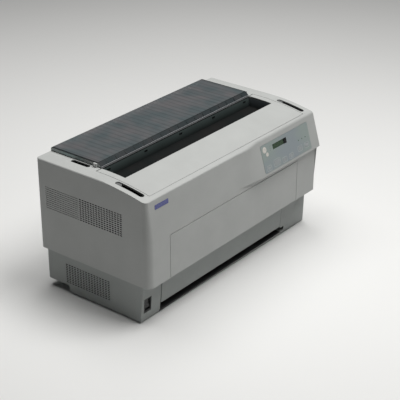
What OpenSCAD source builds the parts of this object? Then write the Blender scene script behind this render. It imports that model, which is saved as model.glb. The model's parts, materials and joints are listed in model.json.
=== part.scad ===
// Wide-carriage dot matrix printer with hinged covers, fan-fold tractors at the front
// and at the rear, a moving print head and a sloped control panel.
// Frame: +X to the right as seen by the user, +Y to the rear, +Z up, millimetres.
// The origin lies on the table under the middle of the overall box.

/* [Case] */
// Width of the upper case
case_w = 700; // [690:1:730]
// Depth of the upper case, without the panel lip and the rear door's bulge
case_d = 357; // [355:1:375]
// Height of the flat deck above the table
deck_z = 352; // [350:1:360]
// Height of the joint between the lower and the upper case
split_z = 106; // [102:1:108]
// Wall thickness of the moulded case
wall = 3.5; // [3:0.1:4]
// Radius of the domed front part of the deck
crown_r = 745; // [700:5:1200]
// Radius of the long rounded edge between the deck and the front wall
front_edge_r = 10; // [8:0.5:10.5]
// Radius of the two upright corners at the front
front_corner_r = 18; // [14:1:20]
// Radius of the two upright corners at the rear
rear_corner_r = 8; // [6:1:12]
// Radius of the deck's side edges
deck_edge_r = 5; // [4:0.5:8]
// Visible gap between a cover or door and the case
seam = 1; // [0.6:0.1:1.2]

/* [Base] */
// How far the base's sides stand in from the upper case
base_inset = 4; // [2:0.5:6]
// How far the top of the base's front stands behind the upper case's front
base_setback = 26; // [22:1:30]
// How far the base's front leans back from its top to its foot
base_lean = 8; // [4:1:12]
// How far the base's rear wall stands in from the upper case's rear
base_rear_setback = 13; // [10:1:16]
// Height of the rubber feet
foot_h = 3; // [2.5:0.5:6]
// Radius of the rubber feet
foot_r = 11; // [8:1:14]
// Height by which the rear of the base's floor is raised
base_step_h = 18; // [14:1:20]
// Distance from the base's rear wall to the step in its floor
base_step_run = 72; // [60:1:90]
// Distance from the case's left side to the front paper slot
slot_left_in = 76; // [70:1:84]
// Distance from the case's right side to the removable panel over the slot
slot_right_in = 113; // [106:1:120]
// Width of the low notch beside the removable panel
notch_w = 19; // [12:1:24]
// Height of the front paper slot's upper edge
slot_top = 25; // [22:1:30]

/* [Doors] */
// Distance from the case's left side to the front and rear doors
door_left_in = 79; // [74:1:84]
// Distance from the case's right side to the front and rear doors
door_right_in = 88; // [84:1:92]
// Distance from the underside of the control panel to the doors' upper edge
door_drop = 14; // [11:1:37]
// Thickness of the door and cover skins
skin = 3; // [2.5:0.1:3.4]
// How far the rear door bulges past the rear wall
rear_bulge = 12; // [6:1:16]
// Radius of the pivot pins on doors and covers
pivot_r = 2; // [1.5:0.1:2.4]
// Radial clearance of every running fit
running = 0.05; // [0.02:0.01:0.09]

/* [Covers] */
// Distance from the case's sides to the printer cover
cover_in = 34; // [32:1:37]
// Distance from the case's front to the printer cover's front edge
cover_front = 24; // [22:1:30]
// Width of the printer cover's arms, beside the smoke window and the exit cover
arm_w = 18; // [16:1:21]
// Y of the window tray's front wall
tray_front_y = -64; // [-68:1:-56]
// Depth of the window tray below the deck
tray_depth = 32; // [26:1:34]
// Y of the exit cover's front lip
exit_front_y = 12; // [11:1:14]
// Height of the exit cover above the deck
exit_h = 11; // [9:0.5:14]
// Distance from the exit cover's front lip to its pivot pins
exit_pivot_run = 16; // [14:0.5:16.5]
// Distance between the ribs under the exit cover
exit_rib_pitch = 34; // [24:1:50]

/* [Control panel] */
// How far the panel's lower lip stands in front of the case
panel_reach = 13; // [8:1:18]
// Distance from the deck down to the panel's lower lip
panel_drop = 111; // [106:1:114]
// Slope of the panel, run per rise
panel_slope = 0.294; // [0.24:0.01:0.3]
// Length over which the front wall swells into the panel
flare_l = 110; // [90:1:140]
// Distance from the case's right side to the membrane overlay
overlay_in = 37; // [36:1:40]
// Width of the membrane overlay
overlay_w = 212; // [200:1:216]
// Height of the membrane overlay, along the slope
overlay_h = 74; // [70:1:76]

/* [Print mechanism] */
// Radius of the rubber platen
platen_r = 22; // [18:0.5:24]
// Distance from each side frame to the end of the rubber platen
platen_end_gap = 53; // [48:1:72]
// Radius of the platen's steel shaft
platen_shaft_r = 6; // [5:0.5:8]
// Y of the platen's axis
platen_y = -2; // [-4:1:0]
// Distance from the deck down to the platen's axis
platen_drop = 90; // [88:1:92]
// Distance from the case's sides to the inner faces of the side frames
frame_in = 47; // [45:1:48]
// Thickness of the side frames
frame_t = 3; // [2:0.5:4]
// Radius of the carriage's rear guide rod
rear_rod_r = 8; // [6:0.5:8.5]
// Radius of the carriage's front guide rod
front_rod_r = 6; // [4:0.5:7]
// Width of the print head carriage
carriage_w = 60; // [50:1:70]
// Module of the feed gears
gear_m = 1.25; // [1.2:0.01:1.3]
// Teeth of the platen gear
platen_teeth = 40; // [38:2:42]
// Teeth of the feed motor's pinion and of the idler gear
pinion_teeth = 16; // [15:1:17]
// Teeth of the exit roller's gear
exit_teeth = 20; // [18:1:22]
// Radius of the feed belts' pulleys
feed_pulley_r = 14; // [12:0.5:15]

/* [Tractors] */
// Radius of the tractors' drive shafts
drive_r = 5; // [4:0.5:6]
// Radius of the tractors' support rods
support_r = 4; // [3:0.5:4.5]
// Distance from the platen's axis to each drive shaft, front to rear
tractor_run = 128; // [124:1:130]
// Height of the tractors' drive shafts above the joint of the case
tractor_rise = 59; // [56:1:64]
// Width of one tractor
tractor_w = 20; // [16:1:22]
// Distance from each side frame to the middle of its tractors at rest
tractor_in = 73; // [68:1:83]

/* [Hidden] */
$fn = 48;
eps = 0.01;
half_w = case_w / 2;
front_y = -(case_d + panel_reach + rear_bulge) / 2 + panel_reach;
rear_y = front_y + case_d;
slot_left = -half_w + slot_left_in;
slot_right = half_w - slot_right_in;
door_left = -half_w + door_left_in;
door_right = half_w - door_right_in;
cover_w = case_w - 2 * cover_in;
smoke_w = cover_w - 2 * arm_w;
frame_gap = case_w - 2 * frame_in;
platen_len = frame_gap - 2 * platen_end_gap;
tractor_x = frame_gap / 2 - tractor_in;
panel_lip_z = deck_z - panel_drop;
platen_z = deck_z - platen_drop;
tractor_z = split_z + tractor_rise;
crown_y = 0;
crown_z = deck_z - crown_r;
cover_y = front_y + cover_front;
strip_y = cover_y - seam - 1.5;
panel_under_z = panel_lip_z - 4;
door_top = panel_under_z - door_drop;
panel_tilt = atan(panel_slope);
tip_y = front_y - panel_reach;
overlay_left = half_w - overlay_in - overlay_w;
flare_end = overlay_left - 1;
flare_start = flare_end - flare_l;
inner_x = half_w - wall;

base_x = half_w - base_inset;
base_top_y = front_y + base_setback;
base_foot_y = base_top_y + base_lean;
base_rear_y = rear_y - base_rear_setback;
base_h = split_z - foot_h;
lean = atan(base_lean / base_h);
step_y = base_rear_y - base_step_run;
rear_floor_z = foot_h + base_step_h + wall;

hinge_y = exit_front_y - 4;
hinge_z = deck_z - 4;
exit_pivot_y = exit_front_y + exit_pivot_run;
exit_pivot_z = deck_z + exit_h / 2;
exit_top = deck_z + exit_h;
door_pivot_in = skin + pivot_r - 0.5;
door_pivot_z = split_z + 6;

left_plate_x = -frame_gap / 2 - frame_t;
right_plate_x = frame_gap / 2;
pan_top = rear_floor_z + 1.5;
rear_rod = [platen_y - 58, platen_z - 26];
front_rod = [platen_y - 98, platen_z - 22];
drive_front = [platen_y - tractor_run, tractor_z];
drive_rear = [platen_y + tractor_run + 4, tractor_z];
support_drop = 32;
gear_w = 7;
gear_gap = 3;
gear_x = left_plate_x - gear_gap - gear_w;
pinion_angle = -60;
idler_angle = 50;
exit_angle = 20;
pinion_at = [platen_y, platen_z] + gear_m * (platen_teeth + pinion_teeth) / 2
            * [cos(pinion_angle), sin(pinion_angle)];
idler_at = [platen_y, platen_z] + gear_m * (platen_teeth + pinion_teeth) / 2
           * [cos(idler_angle), sin(idler_angle)];
exit_at = idler_at + gear_m * (pinion_teeth + exit_teeth) / 2
          * [cos(exit_angle), sin(exit_angle)];
belt_w = 6;
belt_t = 1.5;
flange_t = 1;
pulley_w = belt_w + 1 + 2 * flange_t;
front_belt_x = gear_x - 1 - pulley_w;
rear_belt_x = front_belt_x - pulley_w;
carriage_pulley_r = 9;
belt_axis_y = rear_rod[0] - 18;
pulley_end_x = frame_gap / 2 - 21;
belt_z = rear_rod[1] - rear_rod_r - 11;
// Each key: place along the overlay, as a part of its width, distance up the slope,
// width and height
keys = [[0.09, 16, 13, 8], [0.26, 20, 22, 13], [0.42, 16, 13, 8],
        [0.56, 16, 13, 8], [0.76, 22, 14, 9], [0.91, 22, 14, 9]];
// Each lamp: place along the overlay and distance up the slope
lamps = [[0.76, 44], [0.835, 44], [0.91, 44], [0.0425, 62]];
lcd_x = overlay_left + 0.18 * overlay_w;
lcd_w = 0.29 * overlay_w;
lcd_v = 56;
lcd_h = 14;
switch_x = -half_w + 14;
switch_w = 27;
switch_v = 21;
switch_h = 40;

// X of a place along the overlay, given as a part of its width.
function overlay_x(part) = overlay_left + part * overlay_w;

// ---------- shared shapes ----------

module block(x, y, z) {
  translate([x[0], y[0], z[0]]) cube([x[1] - x[0], y[1] - y[0], z[1] - z[0]]);
}

// A flat outline drawn in (Y, Z), extruded along +X from x to x + length.
module along_x(x, length) {
  translate([x, 0, 0]) rotate([90, 0, 90]) linear_extrude(length) children();
}

module rod(x, length, at, r) {
  translate([x, at[0], at[1]]) rotate([0, 90, 0]) cylinder(r = r, h = length);
}

module both_sides() {
  children();
  mirror([1, 0, 0]) children();
}

// A rectangle with round ends, drawn from its lower left corner.
module rounded_rect(w, h, r) {
  translate([r, 0]) square([w - 2 * r, h]);
  translate([0, r]) square([w, h - 2 * r]);
  for (x = [r, w - r], y = [r, h - r]) translate([x, y]) circle(r);
}

// Height of the deck's outer or inner face at a given y.
function deck_at(y, inset) =
  crown_z + sqrt(pow(crown_r - inset, 2) - pow(min(y - crown_y, 0), 2));

// ---------- upper case ----------

module case_plan(inset) {
  difference() {
    translate([-half_w + inset, front_y + inset])
      square([case_w - 2 * inset, case_d - 2 * inset]);
    for (side = [-1, 1]) {
      corner_cut(side * half_w, front_y, side, 1, front_corner_r, inset);
      corner_cut(side * half_w, rear_y, side, -1, rear_corner_r, inset);
    }
  }
}

module corner_cut(x, y, side, way, r, inset) {
  translate([x - side * r, y + way * r]) difference() {
    translate([side > 0 ? 0 : -r - 1, way > 0 ? -r - 1 : 0]) square([r + 1, r + 1]);
    circle(r - inset);
  }
}

function front_edge_y() = front_y + front_edge_r;
function front_edge_z() =
  crown_z + sqrt(pow(crown_r - front_edge_r, 2) - pow(front_edge_y() - crown_y, 2));

module case_side_view(inset) {
  difference() {
    intersection() {
      translate([front_y + inset, split_z - 10])
        square([case_d - 2 * inset, deck_z - split_z + 10 - inset]);
      union() {
        translate([crown_y, crown_z]) circle(crown_r - inset, $fn = 360);
        translate([crown_y, 0]) square([rear_y - crown_y, deck_z - inset]);
      }
    }
    difference() {
      translate([front_y - 1, front_edge_z()]) square([front_edge_r - 1.6, front_edge_r + 5]);
      translate([front_edge_y(), front_edge_z()]) circle(front_edge_r - inset);
    }
  }
}

module case_front_view(inset) {
  r = deck_edge_r;
  difference() {
    translate([-half_w, 0]) square([case_w, deck_z]);
    for (side = [-1, 1])
      translate([side * (half_w - r), deck_z - r]) difference() {
        translate([side > 0 ? 0 : -r - 1, 0]) square([r + 1, r + 1]);
        circle(r);
      }
  }
}

module case_form(inset) {
  intersection() {
    along_x(-half_w, case_w) case_side_view(inset);
    linear_extrude(deck_z + 10) case_plan(inset);
    if (inset == 0)
      translate([0, rear_y + 1, 0]) rotate([90, 0, 0]) linear_extrude(case_d + 2)
        case_front_view(inset);
  }
}

side_grille_y = [front_y + 78, rear_y - 23];
side_grille_z = [deck_z - 132, deck_z - 65];
slot_field_l = 141;

module upper_case() color("lightgray") difference() {
  case_shell();
  rail_region();
}

// Sides of the deck beside the covers, with the finger slots and the hinges' bosses.
module deck_rails() color("lightgray") intersection() {
  case_shell();
  rail_region();
}

finger_slot_l = 85;
grip_l = 60;
grip_start_y = exit_pivot_y + 12;

module rail_region() {
  both_sides()
    block([smoke_w / 2 - 10, half_w - deck_edge_r - 3],
          [cover_y + 1, grip_start_y + grip_l + 10],
          [deck_z - below_deck, exit_top + 2]);
}

module case_shell() {
  difference() {
    union() {
      difference() {
        case_form(0);
        difference() {
          case_form(wall);
          case_rails();
        }
        block([-half_w, half_w], [front_y - 1, rear_y + 1], [0, split_z]);
      }
      door_bosses(front_y + door_pivot_in);
      door_bosses(rear_y - door_pivot_in);
      cover_bosses();
      exit_ears();
    }
    deck_openings();
    for (y = [front_y, rear_y])
      block([door_left - seam, door_right + seam], [y - wall - eps, y + wall + eps],
            [split_z - 1, door_top + seam]);
    block([flare_start, half_w + 1], [front_y - 1, strip_y], [panel_under_z, deck_z]);
    for (side = [0, 1]) mirror([side, 0, 0])
      block([-half_w - 1, -inner_x + 1], side_grille_y, side_grille_z);
    pivot_bores();
  }
}

// Ledges inside the lower edge that seat the upper case on the base.
module case_rails() {
  rail_h = 3;
  both_sides()
    block([base_x - wall - 4, inner_x + 1], [base_top_y + 6, base_rear_y],
          [split_z, split_z + rail_h]);
  for (x = [[-half_w, door_left - 14], [door_right + 14, half_w]])
    block(x, [base_rear_y - wall - 2, rear_y], [split_z, split_z + rail_h]);
}

module door_bosses(y) {
  for (x = [door_left - seam - 9, door_right + seam])
    block([x, x + 9], [y - door_pivot_in, y + door_pivot_in],
          [split_z, door_pivot_z + 7]);
}

module cover_bosses() {
  both_sides()
    block([cover_w / 2 + seam, cover_w / 2 + seam + 8], [hinge_y - 7, hinge_y + 7],
          [hinge_z - 7, deck_z - 1]);
}

// Lugs on the deck that hold the exit cover's front pins.
module exit_ears() {
  both_sides()
    block([smoke_w / 2 + exit_side_gap, smoke_w / 2 + exit_side_gap + 5],
          [exit_pivot_y - 5.5, exit_pivot_y + 5.5], [deck_z - 1, exit_pivot_z + 4.5]);
}

module pivot_bores() {
  for (y = [front_y + door_pivot_in, rear_y - door_pivot_in])
    rod(door_left - seam - 6, door_right - door_left + 2 * seam + 12,
        [y, door_pivot_z], pivot_r + running);
  rod(-cover_w / 2 - seam - 5, cover_w + 2 * seam + 10, [hinge_y, hinge_z],
      pivot_r + running);
  rod(-smoke_w / 2 - 7, smoke_w + 14, [exit_pivot_y, exit_pivot_z], pivot_r + 1 + running);
}

finger_slot_w = 14;
finger_slot_out = 12.5;
grip_w = 12;
exit_side_gap = 0.8;
below_deck = 60;

// Extrudes a plan view through the deck.
module through_deck() {
  translate([0, 0, deck_z - below_deck]) linear_extrude(below_deck + 20) children();
}

module deck_openings() {
  through_deck() {
    translate([-cover_w / 2 - seam, cover_y - seam])
      rounded_rect(cover_w + 2 * seam, exit_front_y - cover_y + 2 * seam, 3);
    translate([-smoke_w / 2 + 8, exit_front_y])
      square([smoke_w - 16, rear_y - 14 - exit_front_y]);
    translate([-smoke_w / 2 - exit_side_gap, exit_front_y])
      square([smoke_w + 2 * exit_side_gap, exit_pivot_run + 6]);
    for (side = [-1, 1])
      translate([side * (cover_w / 2 + finger_slot_out) - finger_slot_w / 2, cover_y + 7])
        rounded_rect(finger_slot_w, finger_slot_l, finger_slot_w / 2 - 0.1);
    for (side = [-1, 1])
      translate([side * (smoke_w / 2 + 10) - grip_w / 2, grip_start_y])
        rounded_rect(grip_w, grip_l, grip_w / 2 - 0.1);
  }
  block([-smoke_w / 2 + 8, smoke_w / 2 - 8], [rear_y - 15, rear_y + 1],
        [deck_z - 5, deck_z + 1]);
}

// ---------- covers and doors ----------

pit_half = smoke_w / 2;

module printer_cover() color("lightgray") {
  difference() {
    union() {
      intersection() {
        difference() {
          case_form(0);
          case_form(skin);
        }
        through_deck() difference() {
          translate([-cover_w / 2, cover_y])
            rounded_rect(cover_w, hinge_y - cover_y, 3);
          pit_opening();
        }
      }
      both_sides() cover_arm();
      cover_flange();
    }
    block([-pit_half, pit_half], [tray_front_y, hinge_y + 8], [deck_z - 30, deck_z + 1]);
  }
}

module pit_opening() {
  translate([-pit_half, tray_front_y]) square([2 * pit_half, 200]);
}

// The arm that runs back beside the window to the hinge, with its barrel and pin.
module cover_arm() {
  arm_x = pit_half;
  arm_w = cover_w / 2 - pit_half;
  rod(arm_x, arm_w, [hinge_y, hinge_z], deck_z - hinge_z);
  rod(arm_x, arm_w + seam + 4, [hinge_y, hinge_z], pivot_r);
  along_x(arm_x + 1, 4) polygon([
    [hinge_y, hinge_z - 4], [hinge_y, hinge_z + 2],
    [tray_front_y - 6, deck_at(tray_front_y, skin) + 1],
    [tray_front_y - 6, deck_at(tray_front_y, skin) - 10]]);
}

// Stiffening flange under the cover's front and sides.
module cover_flange() {
  depth = 9;
  intersection() {
    difference() {
      case_form(skin - 0.5);
      translate([0, 0, -depth]) case_form(skin);
    }
    through_deck() difference() {
      translate([-cover_w / 2 + 3, cover_y + 3])
        square([cover_w - 6, tray_front_y - cover_y - 6]);
      translate([-cover_w / 2 + 6, cover_y + 6])
        square([cover_w - 12, tray_front_y - cover_y - 12]);
    }
  }
}

tray_t = 2;
tray_rear = [exit_front_y + 1, hinge_z];
tray_low_rear = [exit_front_y - 4, deck_z - tray_depth + 5];

// Smoke plastic window, moulded as a shallow tray that looks down on the print line.
module cover_window() color([0.12, 0.13, 0.14, 0.8]) {
  half = pit_half - 0.3;
  front = tray_front_y + 0.3;
  low = deck_z - tray_depth - 1;
  top = deck_at(tray_front_y, 0) - 1;
  difference() {
    along_x(-half, 2 * half) polygon([
      [front, top], [front, low], [tray_low_rear[0], tray_low_rear[1] - tray_t],
      [tray_rear[0], tray_rear[1]], [tray_rear[0] - tray_t, tray_rear[1]]]);
    along_x(-half + tray_t, 2 * (half - tray_t)) polygon([
      [front + tray_t, deck_z + 5], [front + tray_t, low + tray_t],
      [tray_low_rear[0] - tray_t, tray_low_rear[1]],
      [tray_rear[0] - tray_t, tray_rear[1]], [tray_rear[0] - tray_t, deck_z + 5]]);
    block([-half - 1, half + 1], [hinge_y - 5, hinge_y + 9], [hinge_z + 1, deck_z]);
  }
}

module exit_side_view(inset) {
  lip = 12;
  base = deck_z + 0.5;
  polygon(concat(
    [[exit_front_y + inset, base - inset]],
    [for (a = [0:15:90])
      [exit_front_y + lip - (lip - inset) * cos(a),
       exit_top - 9 + (9 - inset) * sin(a)]],
    [for (a = [90:-15:0])
      [rear_y - 6 + (6 - inset) * cos(a), exit_top - 6 + (6 - inset) * sin(a)]],
    [[rear_y - inset, base - inset]]));
}

// Smoke cover over the paper exit. It turns on its front pins, so its rear edge lifts.
module paper_exit_cover() color([0.3, 0.31, 0.32, 0.85]) {
  t = 2.5;
  difference() {
    union() {
      difference() {
        along_x(-smoke_w / 2, smoke_w) exit_side_view(0);
        along_x(-smoke_w / 2 + t, smoke_w - 2 * t) exit_side_view(t);
      }
      intersection() {
        along_x(-smoke_w / 2, smoke_w) exit_side_view(0);
        exit_ribs(t);
      }
      both_sides()
        rod(smoke_w / 2 - t, t + 5, [exit_pivot_y, exit_pivot_z], pivot_r + 1);
    }
    block([-smoke_w / 2 + t + 4, smoke_w / 2 - t - 4], [rear_y - 8, rear_y + 1],
          [deck_z, deck_z + 6]);
  }
}

module exit_ribs(t) {
  rib_t = 1.6;
  count = floor((smoke_w / 2 - 10) / exit_rib_pitch);
  for (i = [-count:count])
    block([i * exit_rib_pitch - rib_t / 2, i * exit_rib_pitch + rib_t / 2],
          [exit_front_y, rear_y - 12], [exit_top - t - 2.5, exit_top]);
}

// Door skin with its flange and pins; drawn for the front, mirrored for the rear.
module door_panel(face_y, bulge) {
  difference() {
    union() {
      block([door_left, door_right], [face_y, face_y + skin], [split_z + seam, door_top]);
      for (x = [door_left + 3, door_right - 6])
        block([x, x + 3], [face_y, face_y + 7], [split_z + seam + 1, door_top - 3]);
      block([door_left + 3, door_right - 3], [face_y, face_y + 7],
            [door_top - 6, door_top - 3]);
      for (x = [door_left - seam - 4, door_right - 6])
        rod(x, seam + 10, [face_y + door_pivot_in, door_pivot_z], pivot_r);
    }
    if (bulge > 0)
      block([door_left + 12, door_right - 12], [face_y - 1, face_y + skin + 1],
            [split_z + 20, door_top - 12]);
  }
}

module front_door() color("silver") door_panel(front_y, 0);

// The rear door bulges outward over the rear tractors.
module rear_door() color("silver") {
  mirror([0, 1, 0]) {
    door_panel(-rear_y, rear_bulge);
    difference() {
      along_x(door_left + 10, door_right - door_left - 20) rear_bulge_view(0);
      along_x(door_left + 10 + skin, door_right - door_left - 20 - 2 * skin)
        rear_bulge_view(skin);
    }
  }
}

module rear_bulge_view(inset) {
  polygon([[-rear_y + skin, split_z + 18 + inset], [-rear_y + inset, split_z + 18 + inset],
           [-rear_y - rear_bulge + inset, split_z + 30 + inset / 2],
           [-rear_y - rear_bulge + inset, door_top - 50 - inset / 2],
           [-rear_y + inset, door_top - 10 - inset], [-rear_y + skin, door_top - 10 - inset]]);
}

// ---------- control panel ----------

function smooth(u) = u * u * (3 - 2 * u);
function swell(x) =
  smooth(max(0, min(1, (x - flare_start) / (flare_end - flare_start))));
function plane_y(z, f, inset) =
  front_y - panel_reach * f + (z - panel_lip_z) * panel_slope * f
  + inset / cos(atan(panel_slope * f));
// Middle of the rounded upper edge where the swell is f, found by stepping closer.
function edge_middle(f, z, n) =
  let (y = plane_y(z, f, front_edge_r),
       closer = crown_z + sqrt(pow(crown_r - front_edge_r, 2) - pow(y - crown_y, 2)))
  n == 0 ? [y, closer] : edge_middle(f, closer, n - 1);
edge_steps = 8;
function swell_outer(f) =
  let (c = edge_middle(f, front_edge_z(), 4),
       a0 = atan2(c[1] - crown_z, c[0] - crown_y),
       a1 = 180 - atan(panel_slope * f))
  concat([[strip_y, deck_at(strip_y, 0)]],
         [for (i = [0:edge_steps])
           let (a = a0 + (a1 - a0) * i / edge_steps)
           c + front_edge_r * [cos(a), sin(a)]],
         [[plane_y(panel_lip_z, f, 0), panel_lip_z],
          [front_y - (panel_reach - 3) * f, panel_under_z + 1],
          [front_y - (panel_reach - 3) * f / 2, panel_under_z + 0.5],
          [front_y, panel_under_z]]);
function swell_inner(f) =
  let (c = edge_middle(f, front_edge_z(), 4),
       a0 = atan2(c[1] - crown_z, c[0] - crown_y),
       a1 = 180 - atan(panel_slope * f))
  concat([[front_y + wall, panel_under_z], [front_y + wall, panel_under_z + 3],
          [front_y + wall - (panel_reach - 5) * f, panel_under_z + 3.5],
          [plane_y(panel_lip_z + 2, f, wall), panel_lip_z + 2]],
         [for (i = [edge_steps:-1:0])
           let (a = a0 + (a1 - a0) * i / edge_steps)
           c + (front_edge_r - wall) * [cos(a), sin(a)]],
         [[strip_y, deck_at(strip_y, wall)]]);
flare_steps = 14;
flare_x = concat(
  [for (i = [0:flare_steps]) flare_start + (flare_end - flare_start) * i / flare_steps],
  [half_w]);

// Skin swept through sections that swell from the plain front wall to the sloped panel.
module swell_skin() {
  sections = [for (x = flare_x) concat(swell_outer(swell(x)), swell_inner(swell(x)))];
  n = len(sections[0]);
  last = len(flare_x) - 1;
  points = [for (i = [0:last]) for (p = sections[i]) [flare_x[i], p[0], p[1]]];
  sides = [for (i = [0:last - 1], j = [0:n - 1])
    let (k = (j + 1) % n, a = i * n, b = a + n)
    each [[a + j, b + j, b + k], [a + j, b + k, a + k]]];
  caps = [for (j = [0:n / 2 - 2])
    let (p = j, q = j + 1, r = n - 2 - j, s = n - 1 - j, far = last * n)
    each [[p, q, r], [p, r, s], [far + r, far + q, far + p], [far + s, far + r, far + p]]];
  polyhedron(points, concat(sides, caps), convexity = 6);
}

// Moves a shape drawn on the panel's face: x along the printer, y up the slope.
module on_panel() {
  translate([0, tip_y, panel_lip_z]) rotate([90 - panel_tilt, 0, 0]) children();
}

overlay_v = 6;
overlay_sink = 0.9;
overlay_t = 1.2;

module control_panel_housing() color("lightgray") {
  difference() {
    union() {
      swell_skin();
      along_x(half_w - wall, wall)
        polygon(concat(swell_outer(1), [[strip_y, panel_under_z]]));
    }
    on_panel() {
      translate([overlay_left - 0.3, overlay_v - 0.3, -overlay_sink])
        linear_extrude(5) rounded_rect(overlay_w + 0.6, overlay_h + 0.6, 4.3);
      block([overlay_left + 5, overlay_left + overlay_w - 5],
            [overlay_v + 3, overlay_v + overlay_h - 6], [-8, 1]);
    }
  }
}

module panel_overlay() color("gray") on_panel() difference() {
  translate([overlay_left, overlay_v, -overlay_sink]) linear_extrude(overlay_t)
    rounded_rect(overlay_w, overlay_h, 4);
  for (k = keys)
    translate([overlay_x(k[0]) - k[2] / 2 - 0.3, k[1] - k[3] / 2 - 0.3, -5])
      linear_extrude(10)
        rounded_rect(k[2] + 0.6, k[3] + 0.6, 2.3);
  for (l = lamps)
    translate([overlay_x(l[0]), l[1], -5])
      cylinder(r = 1.5 + running, h = 10, $fn = 24);
  block([lcd_x, lcd_x + lcd_w], [lcd_v, lcd_v + lcd_h], [-5, 5]);
}

board_n = -9;

module display_module() color("darkolivegreen") on_panel() {
  block([overlay_left + 8, overlay_left + overlay_w - 8],
        [overlay_v + 5, overlay_v + overlay_h - 8], [board_n, board_n + 1.6]);
  difference() {
    block([lcd_x - 6, lcd_x + lcd_w + 6], [lcd_v - 5, overlay_v + overlay_h - 8],
          [board_n + 1, -overlay_sink]);
    block([lcd_x - 1, lcd_x + lcd_w + 1], [lcd_v - 1, lcd_v + lcd_h + 1],
          [-overlay_sink - 1.2, 1]);
  }
}

module key(i) color("whitesmoke") on_panel() {
  k = keys[i];
  translate([overlay_x(k[0]) - k[2] / 2, k[1] - k[3] / 2, -5]) linear_extrude(5.6)
    rounded_rect(k[2], k[3], 2);
  translate([overlay_x(k[0]) - k[2] / 2 - 1.2, k[1] - k[3] / 2 - 1.2, -3]) linear_extrude(1.8)
    rounded_rect(k[2] + 2.4, k[3] + 2.4, 2);
}
module key_1() key(0);
module key_2() key(1);
module key_3() key(2);
module key_4() key(3);
module key_5() key(4);
module key_6() key(5);

module indicator_lamps() color("limegreen") on_panel()
  for (l = lamps)
    translate([overlay_x(l[0]), l[1], board_n + 1.6])
      cylinder(r = 1.5, h = 0.6 - board_n - 1.6, $fn = 24);

// ---------- grilles ----------

vent_columns = 16;
vent_rows = 11;
// Part of its cell that one vent slot fills, along the rows and across them
vent_open = [0.7, 0.5];
grille_rim = 3;

// Rows and columns of short slots in a plate that lies in (Y, Z).
module slot_field(y, z) {
  pitch = [(y[1] - y[0]) / vent_columns, (z[1] - z[0]) / vent_rows];
  for (i = [0:vent_columns - 1], j = [0:vent_rows - 1])
    translate([y[0] + (i + (1 - vent_open[0]) / 2) * pitch[0],
               z[0] + (j + (1 - vent_open[1]) / 2) * pitch[1]])
      square([vent_open[0] * pitch[0], vent_open[1] * pitch[1]]);
}

// Vent slots in front; blind grooves carry their rows on to the rear.
module side_grille() {
  slots_y = [side_grille_y[0] + grille_rim, side_grille_y[0] + slot_field_l];
  slots_z = [side_grille_z[0] + grille_rim, side_grille_z[1] - grille_rim];
  row = (slots_z[1] - slots_z[0]) / vent_rows;
  groove = 1.6;
  difference() {
    along_x(-half_w, wall) difference() {
      translate([side_grille_y[0], side_grille_z[0]])
        square([side_grille_y[1] - side_grille_y[0], side_grille_z[1] - side_grille_z[0]]);
      slot_field(slots_y, slots_z);
    }
    for (j = [0:vent_rows - 1])
      block([-half_w - 1, -half_w + 1], [slots_y[1] + 2, side_grille_y[1] - grille_rim],
            [slots_z[0] + (j + 0.5) * row - groove / 2,
             slots_z[0] + (j + 0.5) * row + groove / 2]);
  }
}

module side_grille_left() color("lightgray") side_grille();
module side_grille_right() color("lightgray") mirror([1, 0, 0]) side_grille();

base_grille_y = [front_y + 128, rear_y - 74];
base_grille_z = [rear_floor_z, split_z - 20];

module base_grille() {
  along_x(-base_x, wall) difference() {
    translate([base_grille_y[0], base_grille_z[0]])
      square([base_grille_y[1] - base_grille_y[0], base_grille_z[1] - base_grille_z[0]]);
    slot_field([base_grille_y[0] + grille_rim, base_grille_y[1] - grille_rim],
               [base_grille_z[0] + grille_rim, base_grille_z[1] - grille_rim]);
  }
}

module base_grille_left() color("gray") base_grille();
module base_grille_right() color("gray") mirror([1, 0, 0]) base_grille();

// ---------- lower case ----------

// Y of the base's leaning front at a given height, or of its inner face.
function base_front_y(z, inset) = base_foot_y - (z - foot_h) * tan(lean) + inset / cos(lean);

module base_side_view(inset) {
  low = foot_h + inset;
  top = split_z + (inset > 0 ? 5 : 0);
  polygon([[base_front_y(low, inset), low], [step_y - 4 - inset, low],
           [step_y - inset, low + base_step_h], [base_rear_y - inset, low + base_step_h],
           [base_rear_y - inset, top], [base_front_y(top, inset), top]]);
}

// Moves a shape drawn on the base's leaning front: x along it, y up it, z outward.
module on_base_front() {
  translate([0, base_foot_y, foot_h]) rotate([90 + lean, 0, 0]) children();
}

module lower_case() color("gray") {
  difference() {
    intersection() {
      along_x(-base_x, 2 * base_x) base_side_view(0);
      linear_extrude(split_z + 1) translate([-base_x, base_top_y])
        rounded_rect(2 * base_x, base_rear_y - base_top_y, 8);
    }
    along_x(-base_x + wall, 2 * (base_x - wall)) base_side_view(wall);
    block([slot_left, slot_right], [base_top_y - 5, base_foot_y + 5],
          [foot_h + wall, split_z + 1]);
    block([slot_right - 1, slot_right + notch_w], [base_top_y - 5, base_foot_y + 5],
          [foot_h + wall, slot_top - 5]);
    on_base_front()
      block([switch_x, switch_x + switch_w], [switch_v, switch_v + switch_h], [-9, 9]);
    both_sides()
      block([-base_x - 1, -base_x + wall + 1], base_grille_y, base_grille_z);
    rear_cutouts();
  }
}

inlet_x = [-half_w + 28, -half_w + 76];
inlet_z = [rear_floor_z + 8, rear_floor_z + 34];
ports_x = [[half_w - 200, half_w - 144], [half_w - 128, half_w - 82]];
ports_z = [rear_floor_z + 12, rear_floor_z + 28];

module rear_cutouts() {
  block([inlet_x[0], inlet_x[1]], [base_rear_y - wall - 1, base_rear_y + 1], inlet_z);
  for (x = ports_x) block(x, [base_rear_y - wall - 1, base_rear_y + 1], ports_z);
}

// Open strip beside the lower front panel, where a finger starts to lift it off
panel_gap = 3.5;

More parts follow.
